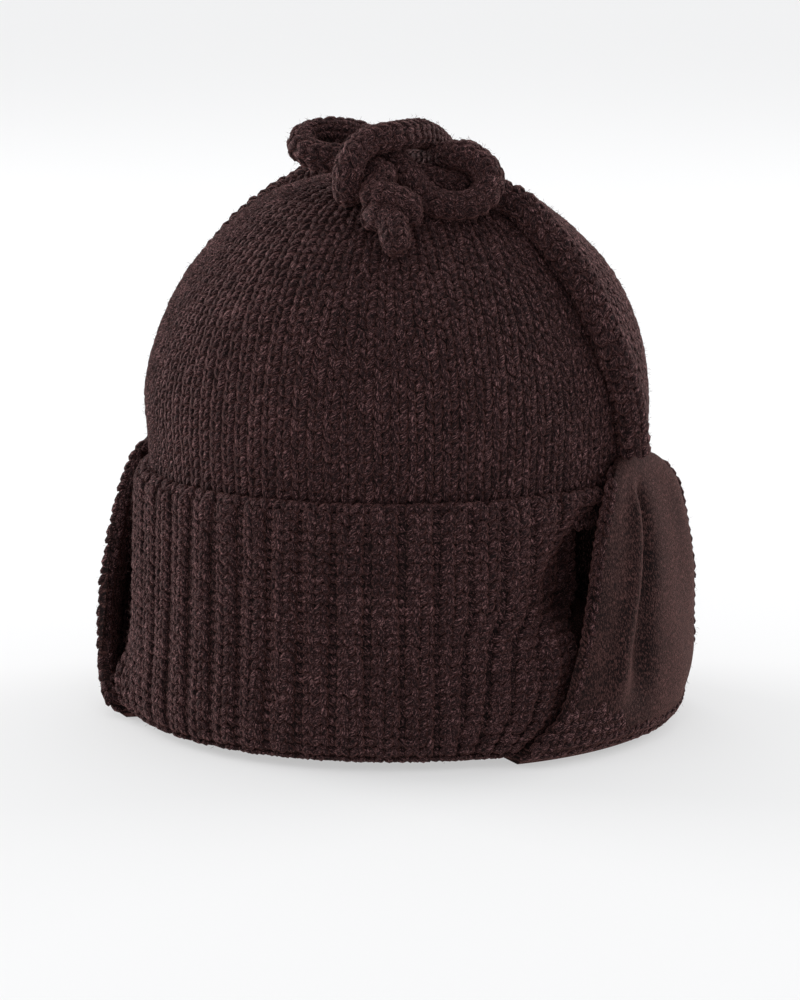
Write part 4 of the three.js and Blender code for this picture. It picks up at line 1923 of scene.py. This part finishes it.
@dataclass
class TieCord:
    """A knitted cord from a flap's tip to the bow, with an overhand knot near its end.

    Its route and its knot's place are given from the photograph's side, turned from the front by BOW_TURN.
    """

    name: str
    route: Sequence[tuple[float, float, float]]
    knot_middle: tuple[float, float, float]
    knot_down: tuple[float, float, float]
    knot_out: tuple[float, float, float]
    nodes: tuple[str, ...]
    radius: float = 5.4
    knot_radius: float = 5.0
    knot_scale: float = 0.92
    knot_flat: float = 0.8
    wales: int = 6
    course: float = 3.7
    slack_course: float = 0.8
    slack_until: float = 125.0
    knot_tail: float = 12.0
    sample_step: float = 1.4
    seed: int = 61

    def __post_init__(self) -> None:
        """Works out the cord's line."""
        down = unit(np.array(self.knot_down, float))
        out = np.array(self.knot_out, float)
        out = unit(out - down * (out @ down))
        side = np.cross(down, out)
        knot = [
            np.array(self.knot_middle)
            + self.knot_scale * (a * down + b * side + c * self.knot_flat * out)
            for a, b, c in OVERHAND_ROUTE
        ]
        points = np.vstack([np.array(self.route, float), np.array(knot)])
        turn = math.radians(BOW_TURN)
        side_way = np.array([math.cos(turn), math.sin(turn), 0.0])
        front_way = np.array([math.sin(turn), -math.cos(turn), 0.0])
        points = points[:, :1] * side_way + points[:, 1:2] * front_way + points[:, 2:] * np.array([0, 0, 1.0])
        self.line = evenly(spline_points(points), self.sample_step)
        self.run = along(self.line)
        knot_run = along(evenly(spline_points(np.array(knot)), self.sample_step))
        self.knot_span = (self.run[-1] - knot_run[-1], self.run[-1] - self.knot_tail)
        self._frames()

    def _frames(self) -> None:
        """Carries a side direction along the line without twisting it."""
        ahead = unit(np.gradient(self.line, axis=0))
        sides = [unit(np.cross(ahead[0], np.array([0.3, 0.2, 1.0])))]
        for direction in ahead[1:]:
            side = sides[-1] - direction * (sides[-1] @ direction)
            sides.append(unit(side))
        self.ahead = ahead
        self.sides = np.array(sides)

    def girth(self, run: np.ndarray) -> np.ndarray:
        """Outer radius along the cord: tighter in the knot and closed at its tip.

        Args:
            run: Distances along the cord in millimetres.

        Returns:
            The radii, in millimetres.
        """
        start, end = self.knot_span
        tight = smooth_step(start - 4, start + 6, run) * (1 - smooth_step(end - 8, end, run))
        closed = np.sqrt(np.clip(1 - np.clip((run - self.run[-1] + 4.5) / 4.6, 0, 1) ** 2, 0.02, 1))
        return (self.radius + (self.knot_radius - self.radius) * tight) * closed

    def surface_at(self, sink: float) -> Surface:
        """A surface inside the cord's outside.

        Args:
            sink: How far inside.

        Returns:
            Its points, by angle round the cord in degrees and distance along it.
        """

        def surface(turn: np.ndarray, run: np.ndarray) -> np.ndarray:
            """Points of the cord's round face.

            Args:
                turn: Degrees round the cord.
                run: Distances along it in millimetres.

            Returns:
                The points, in millimetres.
            """
            middle = np.stack([np.interp(run, self.run, c) for c in self.line.T], axis=1)
            ahead = unit(np.stack([np.interp(run, self.run, c) for c in self.ahead.T], axis=1))
            side = np.stack([np.interp(run, self.run, c) for c in self.sides.T], axis=1)
            side = unit(side - ahead * np.sum(side * ahead, axis=1, keepdims=True))
            other = np.cross(ahead, side)
            angle = np.radians(turn)[:, None]
            out = np.cos(angle) * side + np.sin(angle) * other
            return middle + np.maximum(self.girth(run) - sink, 0.4)[:, None] * out

        return surface

    def core(self, name: str) -> bpy.types.Object:
        """The round cord behind the stitches.

        Args:
            name: The object's name.

        Returns:
            The object, closed.
        """
        sides = 14
        surface = self.surface_at(0.4)
        angle = np.arange(sides) * 360 / sides
        rings = [surface(angle, np.full(sides, run)) for run in self.run]
        made = closed_skin(name, np.stack(rings))
        layer = made.data.uv_layers.new(name="yarn")
        # The fibres' pattern is as fine as in a stitch when the map counts this many of the yarn's girths.
        girths = 3.4
        for face in made.data.polygons:
            corners = [made.data.loops[i].vertex_index for i in face.loop_indices]
            wraps = {0, sides - 1} <= {corner % sides for corner in corners}
            for i, corner in zip(face.loop_indices, corners):
                place = corner % sides + (sides if wraps and corner % sides == 0 else 0)
                layer.data[i].uv = (girths * place / sides, self.run[corner // sides] / LEG_LENGTH)
        tone = made.data.attributes.new("heather", "FLOAT", "POINT")
        tone.data.foreach_set("value", np.full(len(made.data.vertices), 0.4, dtype=np.float32))
        return made

    def stitches(self) -> StitchField:
        """Lays the cord's columns.

        Returns:
            The stitches.
        """
        field = StitchField.empty()
        layout = StitchLayout(
            leg_width=2.95, leg_length=5.4, leg_depth=1.8, tilt=27, lean=3, lift=0.0, seed=self.seed
        )
        places = [1.5]
        while places[-1] < self.run[-1] - 1.5 - self.course:
            places.append(places[-1] + self.course + self.slack_course * float(self.slack(places[-1])))
        column, run = np.meshgrid(np.arange(self.wales) * 360 / self.wales, np.array(places))
        u, v = column.ravel(), run.ravel()
        wale = np.full(len(u), 360 / self.wales)
        shrink = np.clip(self.girth(v) / self.radius, 0.55, 1)[:, None]
        plump = 1 + self.slack(v)[:, None] * np.array([0.12, 0.22, 0.9])
        layout.columns(field, StitchKind.KNIT_UP, self.surface_at(0.5), u, v, wale, (6.0, 1.0))
        field.sizes = [sizes * shrink * plump for sizes in field.sizes]
        return field

    def slack(self, run: np.ndarray | float) -> np.ndarray:
        """How loosely the cord is knitted: slack along the crown's side, drawn tight in the bow."""
        return 1 - smooth_step(self.slack_until - 25, self.slack_until + 10, run)

    def build(self, fabric: KnitFabric) -> None:
        """Builds and seats the cord.

        Args:
            fabric: Makes the knitting.
        """
        brushed = Nap(density=120000.0, facing=-2.0)
        core = self.core(f"{self.name}_core")
        piece = fabric.knit(self.name, self.stitches(), core, self.seed, brushed, fabric.yarn)
        seat(piece, "cord_knit", *self.nodes)
        LOG.info("%s: %.0f mm long", self.name, self.run[-1])


@dataclass
class Studio:
    """The pale floor, the soft lights and the camera."""

    distance: float = 1.56
    azimuth: float = 27.0
    height: float = 0.362
    pitch: float = 10.2
    focal_px: float = 4118.0
    picture_px: float = 1000.0
    sensor: float = 36.0
    front_sky: float = 0.5
    back_sky: float = 1.65

    def camera(self) -> None:
        """Puts the camera at the photograph's angle."""
        data = bpy.data.cameras.new("camera")
        data.lens = self.focal_px / self.picture_px * self.sensor
        data.sensor_width = self.sensor
        data.shift_x = 0.002
        made = bpy.data.objects.new("camera", data)
        turn = math.radians(self.azimuth)
        made.location = (self.distance * math.sin(turn), -self.distance * math.cos(turn), self.height)
        made.rotation_euler = (math.radians(90 - self.pitch), 0, turn)
        bpy.context.scene.collection.objects.link(made)
        bpy.context.scene.camera = made

    def floor(self) -> None:
        """Lays a wide pale floor, lit a little from below as a light table is."""
        rings = [0.0, 0.3, 0.6, 1.0, 2.0, 5.0, 12.0, 40.0]
        sides = 64
        points = [(0.0, 0.0, 0.0)]
        for radius in rings[1:]:
            for k in range(sides):
                turn = 2 * math.pi * k / sides
                points.append((radius * math.cos(turn), radius * math.sin(turn), 0.0))
        faces: list[Sequence[int]] = []
        for k in range(sides):
            n = (k + 1) % sides
            faces.append((0, 1 + k, 1 + n))
            for i in range(len(rings) - 2):
                low, high = 1 + i * sides, 1 + (i + 1) * sides
                faces.append((low + k, high + k, high + n, low + n))
        made = mesh_object("floor", np.array(points) / MM, faces)
        paint = bpy.data.materials.new("matt_paper")
        paint.use_nodes = True
        tree = paint.node_tree
        tree.nodes.clear()
        shader = add_node(
            tree,
            "ShaderNodeBsdfPrincipled",
            inputs={
                "Base Color": linear_colour("a0a0a0"),
                "Roughness": 0.9,
                "Specular IOR Level": 0.1,
                "Emission Color": linear_colour("ffffff"),
                "Emission Strength": 0.49,
            },
        )
        add_node(tree, "ShaderNodeOutputMaterial", inputs={"Surface": shader.outputs["BSDF"]})
        made.data.materials.append(paint)

    def lamp(self, name: str, place: tuple[float, float, float], size: float, power: float) -> None:
        """Hangs one soft box that faces the cap.

        Args:
            name: The light's name.
            place: Angle from the camera's side towards the right, height angle, and distance in metres.
            size: Its side in metres.
            power: Its power in watts.
        """
        data = bpy.data.lights.new(name, "AREA")
        data.size = size
        data.energy = power
        made = bpy.data.objects.new(name, data)
        turn = math.radians(self.azimuth + place[0])
        rise = math.radians(place[1])
        flat = place[2] * math.cos(rise)
        made.location = (flat * math.sin(turn), -flat * math.cos(turn), 0.1 + place[2] * math.sin(rise))
        made.rotation_euler = (math.pi / 2 - rise, 0, turn)
        bpy.context.scene.collection.objects.link(made)

    def lights(self) -> None:
        """Lights the cap from behind at both sides, under a sky that is brighter behind it than in front."""
        world = bpy.data.worlds.new("studio")
        world.use_nodes = True
        tree = world.node_tree
        turn = math.radians(self.azimuth)
        way = add_node(tree, "ShaderNodeTexCoord")
        behind = add_node(
            tree,
            "ShaderNodeVectorMath",
            {"operation": "DOT_PRODUCT"},
            {0: way.outputs["Generated"], 1: (-math.sin(turn), math.cos(turn), 0.0)},
        )
        strength = add_node(
            tree,
            "ShaderNodeMapRange",
            inputs={
                "Value": behind.outputs["Value"],
                "From Min": -1.0,
                "To Min": self.front_sky,
                "To Max": self.back_sky,
            },
        )
        back = tree.nodes["Background"]
        back.inputs["Color"].default_value = linear_colour("f8f9fb")
        tree.links.new(strength.outputs["Result"], back.inputs["Strength"])
        bpy.context.scene.world = world
        bpy.context.scene.view_settings.view_transform = "Standard"
        self.lamp("left_box", (-120, 10, 2.4), 1.4, 66)
        self.lamp("right_box", (124, 14, 2.4), 1.4, 34)

    def build(self) -> None:
        """Builds it all."""
        self.camera()
        self.floor()
        self.lights()


def main() -> None:
    """Builds the cap piece by piece inside its studio."""
    logging.basicConfig(level=logging.INFO, format="%(name)s: %(message)s")
    Studio().build()
    wool = HeatherWool("bulky_heather_wool").build()
    # The cloth behind the stitches is darker than the yarn: its colour paints the shade that falls into the
    # gaps between stitches.
    backing_with_painted_shade = HeatherWool(
        "bulky_heather_wool_backing_with_painted_shade",
        dark="0c0606",
        body="1a0f0f",
        warm="2c1c1b",
        fleck="6c4e4c",
        on_yarn=False,
    ).build()
    facing = BrushedFacing("brushed_wool_facing").build()
    fabric = KnitFabric(wool, backing_with_painted_shade, LooseFibre("loose_wool_fibre").build())
    TieCord(
        "tie_cord_right_knitted",
        RIGHT_CORD_ROUTE,
        knot_middle=(-2.9, 59.4, 202.7),
        knot_down=(0.08, 0.76, -0.65),
        knot_out=(0.0, 0.62, 0.78),
        nodes=("tie_cord_right", "tie_knot_right"),
        seed=61,
    ).build(fabric)
    TieCord(
        "tie_cord_left_knitted",
        LEFT_CORD_ROUTE,
        knot_middle=(24.2, -51.0, 205.2),
        knot_down=(-0.16, -0.86, -0.48),
        knot_out=(0.3, -0.5, 0.8),
        nodes=("tie_cord_left", "tie_knot_left"),
        seed=71,
    ).build(fabric)
    crown = Crown()
    crown.build(fabric)
    Cuff("front_cuff", towards=0.0, edge=1, crown=crown, low_corner=17.0, seed=21).build(fabric)
    Cuff("nape_cuff", towards=180.0, edge=2, crown=crown, seed=31).build(fabric)
    EarFlap("ear_flap_left", EAR_ANGLE, crown, facing, flare=1.5, seed=41).build(fabric)
    EarFlap("ear_flap_right", -EAR_ANGLE, crown, facing, flare=3.0, seed=51).build(fabric)
    fabric.finish()


if __name__ == "__main__":
    main()
